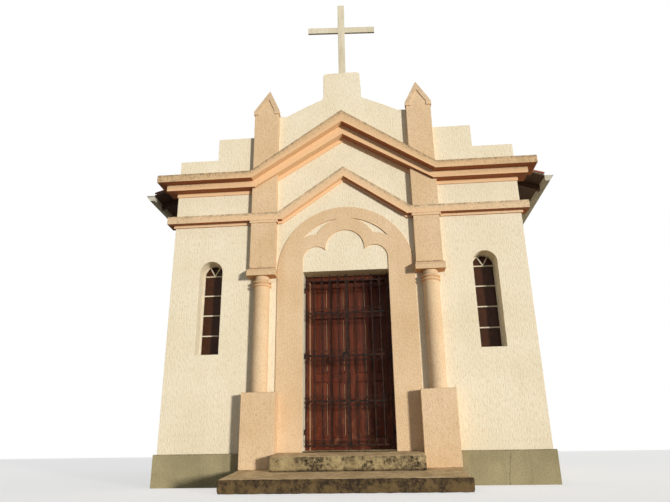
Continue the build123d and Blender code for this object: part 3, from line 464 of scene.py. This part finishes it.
# Old white oil paint: chalky, dull and yellowed, with the grain of the wood just showing along it.
# The grain of about 3 mm is drawn 20 mm wide.
white_paint = weathered_coat(
    "weathered_white_paint", fresh="#e0d6be", faded="#d3c7ab", dirt="#a89a7e", sheltered_and_glow="#e5dac2",
    painted_shade_colour="#c8bda2", streaks=0.35, pitting=0.34, grain=0.02, drag=0.2, relief=0.001)
cross = copy_node("cross")
wear_edges(cross, cross_wear, lambda spot: spot.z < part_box("cross_block")[1].z + weld)
hang(cross, white_paint, "building", "cross_paint", "cross")

# Steps and sill: rough concrete, trodden hollow in the middle and broken along the front edges. The
# treads are dusty and painted paler than the fronts, partly as painted light on the tops, and black
# lichen hangs in patches on the fronts, where nobody walks.
step_detail = 0.018
step_wear = 0.012
step_hold = 0.35
step_cloud = 0.09

# Weathered concrete: quite matt, pale brown on the treads, and darker towards the ground, with a
# crust that is thickest under the front edge of the lower step. Its sand is drawn about 14 mm wide.
concrete, nodes, shader, place = new_material("weathered_concrete", 0.95, 1.45)
blotches = add_node(nodes, "ShaderNodeTexNoise", {"Scale": 5, "Detail": 8, "Roughness": 0.68},
                    {"Vector": place}).outputs["Fac"]
blotches = add_node(nodes, "ShaderNodeMapRange", {"From Min": 0.4, "From Max": 0.62},
                    {"Value": blotches}).outputs[0]
height = add_node(nodes, "ShaderNodeSeparateXYZ", {}, {0: place}).outputs["Z"]
upper = add_node(nodes, "ShaderNodeMapRange", {"From Min": 0.17, "From Max": 0.24},
                 {"Value": height}).outputs[0]
front = add_node(nodes, "ShaderNodeMix", {"data_type": "RGBA", 6: colour("#6d5737"), 7: colour("#b9a478")},
                 {0: upper}).outputs[2]
patchy = add_node(nodes, "ShaderNodeMath", {"operation": "MULTIPLY", 1: 0.55}, {0: blotches}).outputs[0]
front = add_node(nodes, "ShaderNodeMix", {"data_type": "RGBA", 7: colour("#66532f")},
                 {0: patchy, 6: front}).outputs[2]
# Treads: lighter than the fronts, partly dust and partly painted light that the low key doesn't give the
# tops.
tread = add_node(nodes, "ShaderNodeMix", {"data_type": "RGBA", 6: colour("#e3c798"), 7: colour("#c0a376")},
                 {0: blotches}).outputs[2]
facing = add_node(nodes, "ShaderNodeNewGeometry").outputs["Normal"]
facing = add_node(nodes, "ShaderNodeSeparateXYZ", {}, {0: facing}).outputs["Z"]
level = add_node(nodes, "ShaderNodeMapRange", {"From Min": 0.5, "From Max": 0.85},
                 {"Value": facing}).outputs[0]
skin = add_node(nodes, "ShaderNodeMix", {"data_type": "RGBA"}, {0: level, 6: front, 7: tread}).outputs[2]
crust = add_node(nodes, "ShaderNodeTexNoise", {"Scale": 3.6, "Detail": 9, "Roughness": 0.78},
                 {"Vector": place}).outputs["Fac"]
hem = add_node(nodes, "ShaderNodeMapRange", {"From Min": 0.06, "From Max": 0.17, "To Max": 0.09},
               {"Value": height}).outputs[0]
low_part = add_node(nodes, "ShaderNodeMapRange", {"From Min": 0.22, "From Max": 0.2},
                    {"Value": height}).outputs[0]
hem = add_node(nodes, "ShaderNodeMath", {"operation": "MULTIPLY"}, {0: hem, 1: low_part}).outputs[0]
crust = add_node(nodes, "ShaderNodeMath", {"operation": "ADD"}, {0: crust, 1: hem}).outputs[0]
crust = add_node(nodes, "ShaderNodeMapRange", {"From Min": 0.45, "From Max": 0.55},
                 {"Value": crust}).outputs[0]
speck = add_node(nodes, "ShaderNodeTexNoise", {"Scale": 26, "Detail": 8, "Roughness": 0.78},
                 {"Vector": place}).outputs["Fac"]
grainy = add_node(nodes, "ShaderNodeMapRange", {"From Min": 0.4, "From Max": 0.55, "To Min": 0.25},
                  {"Value": speck}).outputs[0]
crust = add_node(nodes, "ShaderNodeMath", {"operation": "MULTIPLY"}, {0: crust, 1: grainy}).outputs[0]
speck = add_node(nodes, "ShaderNodeMapRange", {"From Min": 0.55, "From Max": 0.66, "To Max": 0.7},
                 {"Value": speck}).outputs[0]
bare = add_node(nodes, "ShaderNodeMapRange", {"From Min": 0.95, "From Max": 0.7},
                {"Value": facing}).outputs[0]
crust = add_node(nodes, "ShaderNodeMath", {"operation": "MULTIPLY"}, {0: crust, 1: bare}).outputs[0]
crust = add_node(nodes, "ShaderNodeMath", {"operation": "MAXIMUM"}, {0: crust, 1: speck}).outputs[0]
skin = add_node(nodes, "ShaderNodeMix", {"data_type": "RGBA", 7: colour("#2e2114")},
                {0: crust, 6: skin}).outputs[2]
grit = add_node(nodes, "ShaderNodeTexNoise", {"Scale": 70, "Detail": 5, "Roughness": 0.7},
                {"Vector": place}).outputs["Fac"]
bump = add_node(nodes, "ShaderNodeBump", {"Strength": 0.8, "Distance": 0.006}, {"Height": grit}).outputs[0]
nodes.links.new(skin, shader.inputs["Base Color"])
nodes.links.new(bump, shader.inputs["Normal"])
wear_cloud = bpy.data.textures.new("wear_cloud", "CLOUDS")
wear_cloud.noise_scale = step_cloud
for node in ("lower_step", "upper_step", "door_sill"):
    piece = copy_node(node)
    apply_modifier(piece, "REMESH", mode="VOXEL", voxel_size=step_detail)
    apply_modifier(piece, "DISPLACE", texture=wear_cloud, texture_coords="LOCAL", strength=-step_wear,
                   mid_level=step_hold)
    bpy.ops.object.shade_smooth()
    hang(piece, concrete, "building", "concrete", node)

# Hall floor: a cement screed on the slab, coloured red and polished by use. Hardly any of it shows
# from outside.

# Red oxide screed: a dull brick red with a low polish, clouded over about half a metre.
red_screed, nodes, shader, place = new_material("red_cement_screed", 0.5)
worn = add_node(nodes, "ShaderNodeTexNoise", {"Scale": 2.2, "Detail": 6}, {"Vector": place}).outputs["Fac"]
skin = add_node(nodes, "ShaderNodeMix", {"data_type": "RGBA", 6: colour("#8a4a35"), 7: colour("#a06a50")},
                {0: worn}).outputs[2]
nodes.links.new(skin, shader.inputs["Base Color"])
paint(red_screed, "floor_slab")

# Roof timbers: sawn boards, rafters and a ridge beam, stained dark and never painted again. The
# boards are 200 mm wide and run from front to back, so their joints show below the overhang.

# Dark stain on sawn wood: nearly black-brown and dull, with streaks along the boards. Streaks of
# about 5 mm are drawn 40 mm wide, and joints of about 2 mm 8 mm wide.
dark_boards, nodes, shader, place = new_material("dark_stained_boards", 0.75)
sawn = add_node(nodes, "ShaderNodeMapping", {"Scale": (26, 1.6, 26)}, {"Vector": place}).outputs[0]
grain = add_node(nodes, "ShaderNodeTexNoise", {"Scale": 1, "Detail": 5, "Roughness": 0.65},
                 {"Vector": sawn}).outputs["Fac"]
skin = add_node(nodes, "ShaderNodeMix", {"data_type": "RGBA", 6: colour("#2c1c12"), 7: colour("#5e4029")},
                {0: grain}).outputs[2]
board = add_node(nodes, "ShaderNodeTexWave", {"bands_direction": "X", "wave_profile": "SAW", "Scale": 1.57},
                 {"Vector": place}).outputs["Fac"]
groove = add_node(nodes, "ShaderNodeMapRange", {"From Min": 0.04, "From Max": 0.0},
                  {"Value": board}).outputs[0]
skin = add_node(nodes, "ShaderNodeMix", {"data_type": "RGBA", 7: colour("#120b07")},
                {0: groove, 6: skin}).outputs[2]
bump = add_node(nodes, "ShaderNodeBump", {"Strength": 0.5, "Distance": 0.002}, {"Height": grain}).outputs[0]
nodes.links.new(skin, shader.inputs["Base Color"])
nodes.links.new(bump, shader.inputs["Normal"])
paint(dark_boards, "roof_boards", "rafters", "ridge_beam")

# Roof tiles: half-round clay tiles laid in overlapping courses, hollow side up and then hollow side
# down over the joints. Each is pressed over a former, so it tapers, and no two fire to one colour.
roof_pitch = radians(20)
wall_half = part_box("right_wall")[1].x
wall_eave = 4.390
tile_reach = 2.955
slope_top = wall_eave + wall_half * tan(roof_pitch)
tile_edge = tile_reach / cos(roof_pitch)
tile_start = 0.1
tile_length = 0.42
tile_radius = 0.09
tile_wall = 0.012
tile_taper = 0.82
tile_cut = 0.35
tile_pitch = 0.2
courses = 9
tile_course = (tile_edge - tile_start - tile_length) / (courses - 1)
cover_crown = 0.042
pan_sole = 0.043
cover_axis = cover_crown - tile_radius
pan_axis = tile_radius - pan_sole
front_corners = ((-wall_half, -0.2, 3.5), (wall_half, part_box("front_gable")[1].y, 6))
kiln = random.Random(5)

# The five fields of a slope: whether their tiles lie hollow side up, how far behind the front the
# first row lies, how many rows there are, and whether the stepped front cuts into them.
tile_fields = ((False, 0.25, 2, True), (True, 0.35, 1, True), (False, 0.65, 30, False),
               (True, 0.55, 31, False), (False, 6.61, 1, False))

# Low-fired clay: dry, orange-red to brown from tile to tile, and blackened in patches of about
# 0.3 m by soot and moss. Its grain of about 2 mm is drawn 11 mm wide.
fired_clay, nodes, shader, place = new_material("fired_clay", 0.85)
lot = add_node(nodes, "ShaderNodeAttribute", {"attribute_name": "firing"}).outputs["Fac"]
skin = add_node(nodes, "ShaderNodeMix", {"data_type": "RGBA", 6: colour("#b0674a"), 7: colour("#7d4630")},
                {0: lot}).outputs[2]
smoke = add_node(nodes, "ShaderNodeTexNoise", {"Scale": 3.1, "Detail": 7, "Roughness": 0.7},
                 {"Vector": place}).outputs["Fac"]
smoke = add_node(nodes, "ShaderNodeMapRange", {"From Min": 0.48, "From Max": 0.68, "To Max": 0.7},
                 {"Value": smoke}).outputs[0]
skin = add_node(nodes, "ShaderNodeMix", {"data_type": "RGBA", 7: colour("#43362c")},
                {0: smoke, 6: skin}).outputs[2]
grit = add_node(nodes, "ShaderNodeTexNoise", {"Scale": 90, "Detail": 3}, {"Vector": place}).outputs["Fac"]
bump = add_node(nodes, "ShaderNodeBump", {"Strength": 0.5, "Distance": 0.002}, {"Height": grit}).outputs[0]
nodes.links.new(skin, shader.inputs["Base Color"])
nodes.links.new(bump, shader.inputs["Normal"])


def half_round_tile(radius, length, wall, cut, narrow_low=False):
    """Shape one tapered tile that lies along X with its hollow side down."""
    bpy.ops.mesh.primitive_cylinder_add(vertices=16, radius=radius, depth=length, end_fill_type="NOTHING",
                                        rotation=(0, pi / 2, 0), location=(length / 2, 0, 0))
    tile = bpy.context.object
    bpy.ops.object.transform_apply()
    bpy.ops.object.mode_set(mode="EDIT")
    bpy.ops.mesh.select_all(action="SELECT")
    bpy.ops.mesh.bisect(plane_co=(0, 0, cut * radius), plane_no=(0, 0, 1), clear_inner=True)
    bpy.ops.mesh.select_all(action="DESELECT")
    bpy.ops.object.mode_set(mode="OBJECT")
    for vertex in tile.data.vertices:
        vertex.select = (vertex.co.x > length / 2) == narrow_low
    bpy.ops.object.mode_set(mode="EDIT")
    bpy.ops.transform.resize(value=(1, tile_taper, tile_taper), center_override=(0, 0, 0))
    bpy.ops.object.mode_set(mode="OBJECT")
    apply_modifier(tile, "SOLIDIFY", thickness=wall, offset=-1)
    return tile


def lay(tile, along, across, along_count, across_count):
    """Repeat a tile in courses and rows, and give each copy its own place in the kiln."""
    corners = len(tile.data.vertices)
    for step, count in ((along, along_count), (across, across_count)):
        apply_modifier(tile, "ARRAY", count=count, use_relative_offset=False, use_constant_offset=True,
                       constant_offset_displace=step)
    firings = [kiln.random() for _ in range(along_count * across_count)]
    mark = tile.data.attributes.new("firing", "FLOAT", "POINT")
    for index in range(len(tile.data.vertices)):
        mark.data[index].value = firings[index // corners]


def set_down(piece, place):
    """Put a piece in its place and leave the place in its mesh."""
    piece.matrix_world = place
    select(piece)
    bpy.ops.object.transform_apply()


def slope_place(sign):
    """Give the place of a slope, whose own X runs down from the ridge and whose own Z stands off it."""
    return (Matrix.Translation((0, 0, slope_top)) @ Matrix.Rotation(0 if sign > 0 else pi, 4, "Z")
            @ Matrix.Rotation(roof_pitch, 4, "Y"))


front_block = add_block(*front_corners)
for side, sign in (("left", -1), ("right", 1)):
    fields = []
    for hollow_up, first, rows, beside_front in tile_fields:
        tile = half_round_tile(tile_radius, tile_length, tile_wall, tile_cut, hollow_up)
        set_down(tile, Matrix.Translation((tile_start, sign * first, pan_axis if hollow_up else cover_axis))
                 @ Matrix.Rotation(pi if hollow_up else 0, 4, "X"))
        lay(tile, (tile_course, 0, 0), (0, sign * tile_pitch, 0), courses, rows)
        set_down(tile, slope_place(sign))
        if beside_front:
            apply_modifier(tile, "BOOLEAN", operation="DIFFERENCE", object=front_block, solver="EXACT")
        fields.append(tile)
    select(*fields)
    bpy.ops.object.join()
    slope = bpy.context.object
    slope.name = f"clay_tiles_{side}"
    bpy.ops.object.shade_smooth_by_angle(angle=smooth_angle)
    hang(slope, fired_clay, "building", "clay_tile", f"roof_tiles_{side}")
bpy.data.objects.remove(front_block)

# Ridge tiles: larger half-round tiles of the same clay, laid over the top from the front in one
# overlapping run and bedded in mortar.
ridge_low, ridge_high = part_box("ridge_tiles")
ridge_radius = (ridge_high.x - ridge_low.x) / 2
ridge_wall = 0.014
ridge_cut = -0.25
ridge_count = 18
ridge_course = (ridge_high.y - ridge_low.y - tile_length) / (ridge_count - 1)
ridge = half_round_tile(ridge_radius, tile_length, ridge_wall, ridge_cut)
lay(ridge, (ridge_course, 0, 0), (0, 0, 0), ridge_count, 1)
ridge.name = "clay_ridge_tiles"
set_down(ridge, Matrix.Translation((0, ridge_low.y, ridge_high.z - ridge_radius))
         @ Matrix.Rotation(pi / 2, 4, "Z"))
bpy.ops.object.shade_smooth_by_angle(angle=smooth_angle)
hang(ridge, fired_clay, "building", "clay_tile", "ridge_tiles")

# Bedding: lime mortar pressed in with a trowel under the ridge tiles and along the open edges of
# both slopes, so that the wind can't lift them.
bed_half = 0.1
bed_depth = 0.07
bed_rise = 0.005
bed_short = 0.01
strip_short = 0.02
strip_low = -0.044
strip_high = -0.006
trowel_round = 0.006

# The strips along the front and the back edge of a slope: where they start below the ridge, and
# between which distances behind the front they lie.
edge_strips = ((2.52 / cos(roof_pitch), 0.18, 0.21), (tile_start, 6.65, 6.68))

# Old lime mortar: grey-brown, crumbly and quite matt. Its sand of about 4 mm is drawn 12 mm wide.
lime_mortar = weathered_coat(
    "lime_mortar", fresh="#a89c88", faded="#8f8371", dirt="#5c5244", sheltered_and_glow="#a89c88",
    painted_shade_colour="#a89c88", streaks=0.5, pitting=0.34, grain=0.012, drag=0.012, relief=0.006)


def round_arrises(piece, width, segments):
    """Round every sharp edge of a piece."""
    apply_modifier(piece, "BEVEL", limit_method="ANGLE", angle_limit=sharp_angle, width=width,
                   segments=segments)


strips = [add_block((-bed_half, ridge_low.y + bed_rise, slope_top - bed_depth),
                    (bed_half, ridge_high.y - bed_short, slope_top + bed_rise))]
for sign in (-1, 1):
    for upper_end, first, last in edge_strips:
        low, high = sorted((sign * first, sign * last))
        strip = add_block((upper_end, low, strip_low), (tile_edge - strip_short, high, strip_high))
        set_down(strip, slope_place(sign))
        strips.append(strip)
select(*strips)
bpy.ops.object.join()
bedding = bpy.context.object
bedding.name = "bedding_mortar"
round_arrises(bedding, trowel_round, 2)
hang(bedding, lime_mortar, "building", "clay_tile")

# Gutters: folded sheet hung under both eaves, painted white and streaked by what runs over. Only
# the end of the right one shows in the photograph.

# Old white paint on sheet: smooth but chalked, greyed, and stained brown in upright runs. The
# stains of about 20 mm are drawn 50 mm wide.
gutter_paint = weathered_coat(
    "gutter_enamel", fresh="#cfc9ba", faded="#bdb5a2", dirt="#857762", sheltered_and_glow="#c9c0ab",
    painted_shade_colour="#b5ac96", streaks=0.6, pitting=0.34, grain=0.05, drag=0.05, relief=0.001)
paint(gutter_paint, "gutters")

# Window frames and glass: flat steel bars in white enamel, and panes of dark red-brown pressed
# glass with a soft ripple.

# White enamel on steel: smooth, yellowed and dirty where water runs. The dirt of about 10 mm is drawn
# 30 mm wide, because the bars are only a pixel or two across.
bar_enamel = weathered_coat(
    "window_enamel", fresh="#e2d9c6", faded="#cdc1aa", dirt="#8c7b63", sheltered_and_glow="#d8cfbc",
    painted_shade_colour="#c0b6a1", streaks=0.5, pitting=0.34, grain=0.03, drag=0.1, relief=0.001)
paint(bar_enamel, "front_window_frames", "side_window_frames")

# Pressed glass: nearly black red-brown, half matt with dust, with ripples of about 70 mm that break
# up what it mirrors.
pressed_glass, nodes, shader, place = new_material("dark_pressed_glass", 0.28)
shader.inputs["Specular IOR Level"].default_value = 0.15
ripple = add_node(nodes, "ShaderNodeTexNoise", {"Scale": 14, "Detail": 2}, {"Vector": place}).outputs["Fac"]
skin = add_node(nodes, "ShaderNodeMix", {"data_type": "RGBA", 6: colour("#2c180c"), 7: colour("#4a2a16")},
                {0: ripple}).outputs[2]
bump = add_node(nodes, "ShaderNodeBump", {"Strength": 0.3, "Distance": 0.004},
                {"Height": ripple}).outputs[0]
nodes.links.new(skin, shader.inputs["Base Color"])
nodes.links.new(bump, shader.inputs["Normal"])
paint(pressed_glass, "window_glass")

# Wooden doors: framed leaves of red-brown hardwood under old varnish, each with two columns of
# raised panels in three rows. Stiles run full height, and the rails are let in between them.
door_low, door_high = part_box("wood_door_right")
knuckle_radius = 0.007
knuckle_bore = 0.0045
knuckle_length = 0.040
knuckle_y = door_high.y - knuckle_radius
leaf_front = door_low.y
leaf_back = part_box("door_frame")[1].y
leaf_inner = door_low.x
leaf_outer = door_high.x - knuckle_radius
leaf_low = door_low.z
leaf_high = door_high.z
leaf_lean = 0.005
stile = 0.062
board_arris = 0.0015
rail_lines = ((leaf_low, 0.575), (1.315, 1.425), (2.198, 2.308), (2.647, leaf_high))
panel_sunk = 0.010
field_frame = 0.012
field_slope = 0.026
field_short = 0.001
hinge_levels = [leaf_low + (leaf_high - leaf_low) * part / 6 for part in (1, 3, 5)]
plate_width = 0.036
plate_thick = 0.003
plate_inset = 0.002
plate_let_in = 0.001

# Black paint on wrought iron: dull, brown-black and pocked with rust. The pocks of about 3 mm are
# drawn 45 mm wide, so that the bars change colour along their length.
black_iron, nodes, shader, place = new_material("black_painted_iron", 0.7)
shader.inputs["Specular IOR Level"].default_value = 0.2
rust = add_node(nodes, "ShaderNodeTexNoise", {"Scale": 22, "Detail": 7, "Roughness": 0.7},
                {"Vector": place}).outputs["Fac"]
rust = add_node(nodes, "ShaderNodeMapRange", {"From Min": 0.46, "From Max": 0.62},
                {"Value": rust}).outputs[0]
skin = add_node(nodes, "ShaderNodeMix", {"data_type": "RGBA", 6: colour("#1b1411"), 7: colour("#4a2c1d")},
                {0: rust}).outputs[2]
bump = add_node(nodes, "ShaderNodeBump", {"Strength": 0.4, "Distance": 0.001}, {"Height": rust}).outputs[0]
nodes.links.new(skin, shader.inputs["Base Color"])
nodes.links.new(bump, shader.inputs["Normal"])


# Hardwood under old varnish: deep red-brown with only a trace of a shine, bare and dusty low down.
# The grain of about 5 mm is drawn 30 mm wide and 0.45 m long.
def varnished_hardwood(name, stretch):
    """Mix red-brown hardwood, its grain stretched along one axis, under varnish that has gone thin.

    The varnish has worn off in patches towards the foot, and right-facing sides carry a painted highlight.
    """
    material, nodes, shader, place = new_material(name, 0.6, 1.5)
    along = add_node(nodes, "ShaderNodeMapping", {"Scale": stretch}, {"Vector": place}).outputs[0]
    grain = add_node(nodes, "ShaderNodeTexNoise",
                     {"Scale": 1, "Detail": 7, "Roughness": 0.68, "Distortion": 0.4},
                     {"Vector": along}).outputs["Fac"]
    grain = add_node(nodes, "ShaderNodeMapRange", {"From Min": 0.34, "From Max": 0.66},
                     {"Value": grain}).outputs[0]
    skin = add_node(nodes, "ShaderNodeMix",
                    {"data_type": "RGBA", 6: colour("#351608"), 7: colour("#702f16")},
                    {0: grain}).outputs[2]
    bare = add_node(nodes, "ShaderNodeTexNoise", {"Scale": 7, "Detail": 6, "Roughness": 0.7},
                    {"Vector": place}).outputs["Fac"]
    bare = add_node(nodes, "ShaderNodeMapRange", {"From Min": 0.5, "From Max": 0.7},
                    {"Value": bare}).outputs[0]
    height = add_node(nodes, "ShaderNodeSeparateXYZ", {}, {0: place}).outputs["Z"]
    foot = add_node(nodes, "ShaderNodeMapRange", {"From Min": 1.5, "From Max": 0.5, "To Max": 0.7},
                    {"Value": height}).outputs[0]
    bare = add_node(nodes, "ShaderNodeMath", {"operation": "MULTIPLY"}, {0: bare, 1: foot}).outputs[0]
    skin = add_node(nodes, "ShaderNodeMix", {"data_type": "RGBA", 7: colour("#9a6240")},
                    {0: bare, 6: skin}).outputs[2]
    side = add_node(nodes, "ShaderNodeNewGeometry").outputs["Normal"]
    side = add_node(nodes, "ShaderNodeSeparateXYZ", {}, {0: side}).outputs["X"]
    # Painted highlight: sides facing right, towards the key, are lightened to a pale tan.
    painted_highlight = add_node(nodes, "ShaderNodeMapRange", {"From Min": 0.6, "From Max": 0.9, "To Max": 0.85},
                      {"Value": side}).outputs[0]
    skin = add_node(nodes, "ShaderNodeMix", {"data_type": "RGBA", 7: colour("#dcae82")},
                    {0: painted_highlight, 6: skin}).outputs[2]
    bump = add_node(nodes, "ShaderNodeBump", {"Strength": 0.35, "Distance": 0.0015},
                    {"Height": grain}).outputs[0]
    shader.inputs["Specular IOR Level"].default_value = 0.25
    shader.inputs["Coat Weight"].default_value = 0.05
    shader.inputs["Coat Roughness"].default_value = 0.3
    nodes.links.new(skin, shader.inputs["Base Color"])
    nodes.links.new(bump, shader.inputs["Normal"])
    return material


upright_wood = varnished_hardwood("varnished_hardwood_upright", (34, 34, 2.2))
level_wood = varnished_hardwood("varnished_hardwood_level", (2.2, 34, 34))


def raise_field(block):
    """Raise a bevelled field on the front and the back of a panel."""
    for face in block.data.polygons:
        face.select = abs(face.normal.y) > 0.9
    bpy.ops.object.mode_set(mode="EDIT")
    bpy.ops.mesh.select_mode(type="FACE")
    bpy.ops.mesh.inset(thickness=field_frame, depth=0, use_individual=True)
    bpy.ops.mesh.inset(thickness=field_slope, depth=panel_sunk - field_short, use_individual=True)
    bpy.ops.mesh.select_mode(type="VERT")
    bpy.ops.object.mode_set(mode="OBJECT")


def add_barrel(x, y, low, high, radius, bore):
    """Add an upright barrel with a bore for its pin."""
    bpy.ops.mesh.primitive_cylinder_add(vertices=16, radius=radius, depth=high - low,
                                        end_fill_type="NOTHING", location=(x, y, (low + high) / 2))
    barrel = bpy.context.object
    bpy.ops.object.transform_apply()
    barrel.data.materials.append(black_iron)
    apply_modifier(barrel, "SOLIDIFY", thickness=radius - bore, offset=-1)
    return barrel


panel_width = (leaf_outer - leaf_inner - 3 * stile) / 2
for side, sign in (("left", -1), ("right", 1)):
    boards = []
    for index in range(3):
        inner = leaf_inner + index * (stile + panel_width)
        low, high = sorted((sign * inner, sign * (inner + stile)))
        board = add_block((low, leaf_front, leaf_low), (high, leaf_back, leaf_high), upright_wood)
        if index == 0:
            for part in (*board.data.polygons, *board.data.edges):
                part.select = False
            for vertex in board.data.vertices:
                vertex.select = abs(vertex.co.x) < inner + weld and vertex.co.y < leaf_front + weld
            bpy.ops.object.mode_set(mode="EDIT")
            bpy.ops.transform.translate(value=(sign * leaf_lean, 0, 0))
            bpy.ops.object.mode_set(mode="OBJECT")
        boards.append(board)
    for column in range(2):
        inner = leaf_inner + stile + column * (stile + panel_width)
        low, high = sorted((sign * inner, sign * (inner + panel_width)))
        for bottom, top in rail_lines:
            boards.append(add_block((low, leaf_front, bottom), (high, leaf_back, top), level_wood))
        for below, above in zip(rail_lines, rail_lines[1:]):
            panel = add_block((low, leaf_front + panel_sunk, below[1]),
                              (high, leaf_back - panel_sunk, above[0]), upright_wood)
            raise_field(panel)
            boards.append(panel)
    select(*boards)
    bpy.ops.object.join()
    leaf = bpy.context.object
    round_arrises(leaf, board_arris, 1)
    irons = []
    for level in hinge_levels:
        bottom, top = level - knuckle_length / 2, level + knuckle_length / 2
        irons.append(add_barrel(sign * leaf_outer, knuckle_y, bottom, top, knuckle_radius, knuckle_bore))
        low, high = sorted((sign * (leaf_outer - plate_width), sign * (leaf_outer - plate_inset)))
        irons.append(add_block((low, leaf_back - plate_let_in, bottom), (high, leaf_back + plate_thick, top),
                               black_iron))
    select(leaf, *irons)
    bpy.ops.object.join()
    leaf.name = f"panelled_leaf_{side}"
    bpy.ops.object.shade_smooth_by_angle(angle=smooth_angle)
    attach(leaf, f"wood_door_{side}")
    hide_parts(f"wood_door_{side}")
paint(upright_wood, "door_frame")
paint(black_iron, "door_hinges", "gate_hooks")

# Iron gates: two stiles, four square bars and five flat rails, forged and riveted, with a flat strip
# bent into a scroll above and below the rails in every bay. Black paint, rusted through in spots.
low_corner, high_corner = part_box("gate_right")
barrel_lows = (0.62, 1.60, 2.52)
barrel_length = 0.06
barrel_radius = 0.008
barrel_bore = 0.005
pivot_outside = 0.006
gate_y = (low_corner.y + high_corner.y) / 2
gate_half = 0.006
gate_low = low_corner.z
gate_high = high_corner.z
gate_inner = low_corner.x
gate_pivot = high_corner.x - barrel_radius
gate_outer = gate_pivot - pivot_outside
gate_stile = 0.018
gate_bar = 0.012
gate_rail = 0.015
gate_arris = 0.0012
rail_set_back = 0.001
rail_levels = (gate_low + gate_rail / 2, 1.029, 1.628, 2.218, 2.678)
bar_pitch = (gate_outer - gate_inner - gate_stile) / 5
first_bar = gate_inner + gate_stile / 2
strip_half = 0.005
strip_thick = 0.004
scroll_flat = 0.020
scroll_bend = 0.025
scroll_leg = 0.025
scroll_eye = scroll_bend + scroll_leg
bolt_radius = 0.005
bolt_length = 0.29
bolt_place = (-0.012, gate_y - 0.006, 0.571)
keeper_levels = (0.50, 0.66)

# The turns in which a scroll curls in, from the outside: how far the centre lies from the middle of
# the bay, the angle, and the number of steps.
scroll_turns = ((0.025, pi, 5), (0.018, pi, 4), (0.025, pi / 2, 2))

# Opposite corners of the lock box, of its cover plate and of the two keepers of the drop bolt. Their
# depths are counted from the middle of the bars.
lock_parts = [((-0.073, -0.008, 1.5805), (-0.003, 0.008, 1.6755)),
              ((-0.065, -0.0105, 1.5885), (-0.011, -0.007, 1.6675))]
lock_parts += [((-0.020, -0.0115, level), (-0.004, -0.004, level + 0.016)) for level in keeper_levels]


def bend_scroll():
    """Bend a flat strip into a C that lies with its back on a rail, both ends curled in."""
    bpy.ops.mesh.primitive_plane_add(size=1, location=(scroll_flat / 2, 0, 0))
    scroll = bpy.context.object
    scroll.scale = (scroll_flat, 2 * strip_half, 1)
    bpy.ops.object.transform_apply()
    for part in (*scroll.data.polygons, *scroll.data.edges, *scroll.data.vertices):
        part.select = False
    for vertex in scroll.data.vertices:
        vertex.select = vertex.co.x > scroll_flat / 2
    bpy.ops.object.mode_set(mode="EDIT")
    bpy.ops.mesh.spin(steps=3, angle=pi / 2, center=(scroll_flat, 0, scroll_bend), axis=(0, 1, 0))
    bpy.ops.mesh.extrude_region_move(TRANSFORM_OT_translate={"value": (0, 0, scroll_leg)})
    for centre, turn, steps in scroll_turns:
        bpy.ops.mesh.spin(steps=steps, angle=turn, center=(centre, 0, scroll_eye), axis=(0, 1, 0))
    bpy.ops.mesh.select_all(action="SELECT")
    bpy.ops.mesh.remove_doubles(threshold=weld)
    bpy.ops.mesh.normals_make_consistent(inside=False)
    bpy.ops.object.mode_set(mode="OBJECT")
    apply_modifier(scroll, "MIRROR", use_axis=(True, False, False), merge_threshold=weld)
    apply_modifier(scroll, "SOLIDIFY", thickness=strip_thick, offset=0)
    scroll.data.materials.append(black_iron)
    return scroll


for side, sign in (("left", -1), ("right", 1)):
    bars = []
    for index in range(6):
        half = (gate_stile if index in (0, 5) else gate_bar) / 2
        middle = sign * (first_bar + index * bar_pitch)
        bars.append(add_block((middle - half, gate_y - gate_half, gate_low),
                              (middle + half, gate_y + gate_half, gate_high), black_iron))
    for level in rail_levels:
        low, high = sorted((sign * gate_inner, sign * gate_outer))
        bars.append(add_block((low, gate_y - gate_half + rail_set_back, level - gate_rail / 2),
                              (high, gate_y + gate_half - rail_set_back, level + gate_rail / 2),
                              black_iron))
    if side == "left":
        for low, high in lock_parts:
            bars.append(add_block((low[0], gate_y + low[1], low[2]), (high[0], gate_y + high[1], high[2]),
                                  black_iron))
    select(*bars)
    bpy.ops.object.join()
    gate = bpy.context.object
    round_arrises(gate, gate_arris, 1)
    fittings = []
    row = bend_scroll()
    apply_modifier(row, "ARRAY", count=5, use_relative_offset=False, use_constant_offset=True,
                   constant_offset_displace=(sign * bar_pitch, 0, 0))
    for direction, levels in ((1, rail_levels[:4]), (-1, rail_levels[1:])):
        for level in levels:
            scrolls = row.copy()
            scrolls.data = row.data.copy()
            bpy.context.collection.objects.link(scrolls)
            foot = level + direction * (gate_rail + strip_thick) / 2
            flip = Matrix.Rotation(0 if direction > 0 else pi, 4, "X")
            set_down(scrolls, Matrix.Translation((sign * (first_bar + bar_pitch / 2), gate_y, foot)) @ flip)
            fittings.append(scrolls)
    bpy.data.objects.remove(row)
    for low in barrel_lows:
        fittings.append(add_barrel(sign * gate_pivot, gate_y, low, low + barrel_length, barrel_radius,
                                   barrel_bore))
    if side == "left":
        bpy.ops.mesh.primitive_cylinder_add(vertices=12, radius=bolt_radius, depth=bolt_length,
                                            location=bolt_place)
        bolt = bpy.context.object
        bpy.ops.object.transform_apply()
        bolt.data.materials.append(black_iron)
        round_arrises(bolt, gate_arris, 2)
        fittings.append(bolt)
    select(gate, *fittings)
    bpy.ops.object.join()
    gate.name = f"forged_gate_{side}"
    bpy.ops.object.shade_smooth_by_angle(angle=smooth_angle)
    hang(gate, black_iron, f"gate_{side}", "ironwork", f"gate_{side}")

low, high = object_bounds()
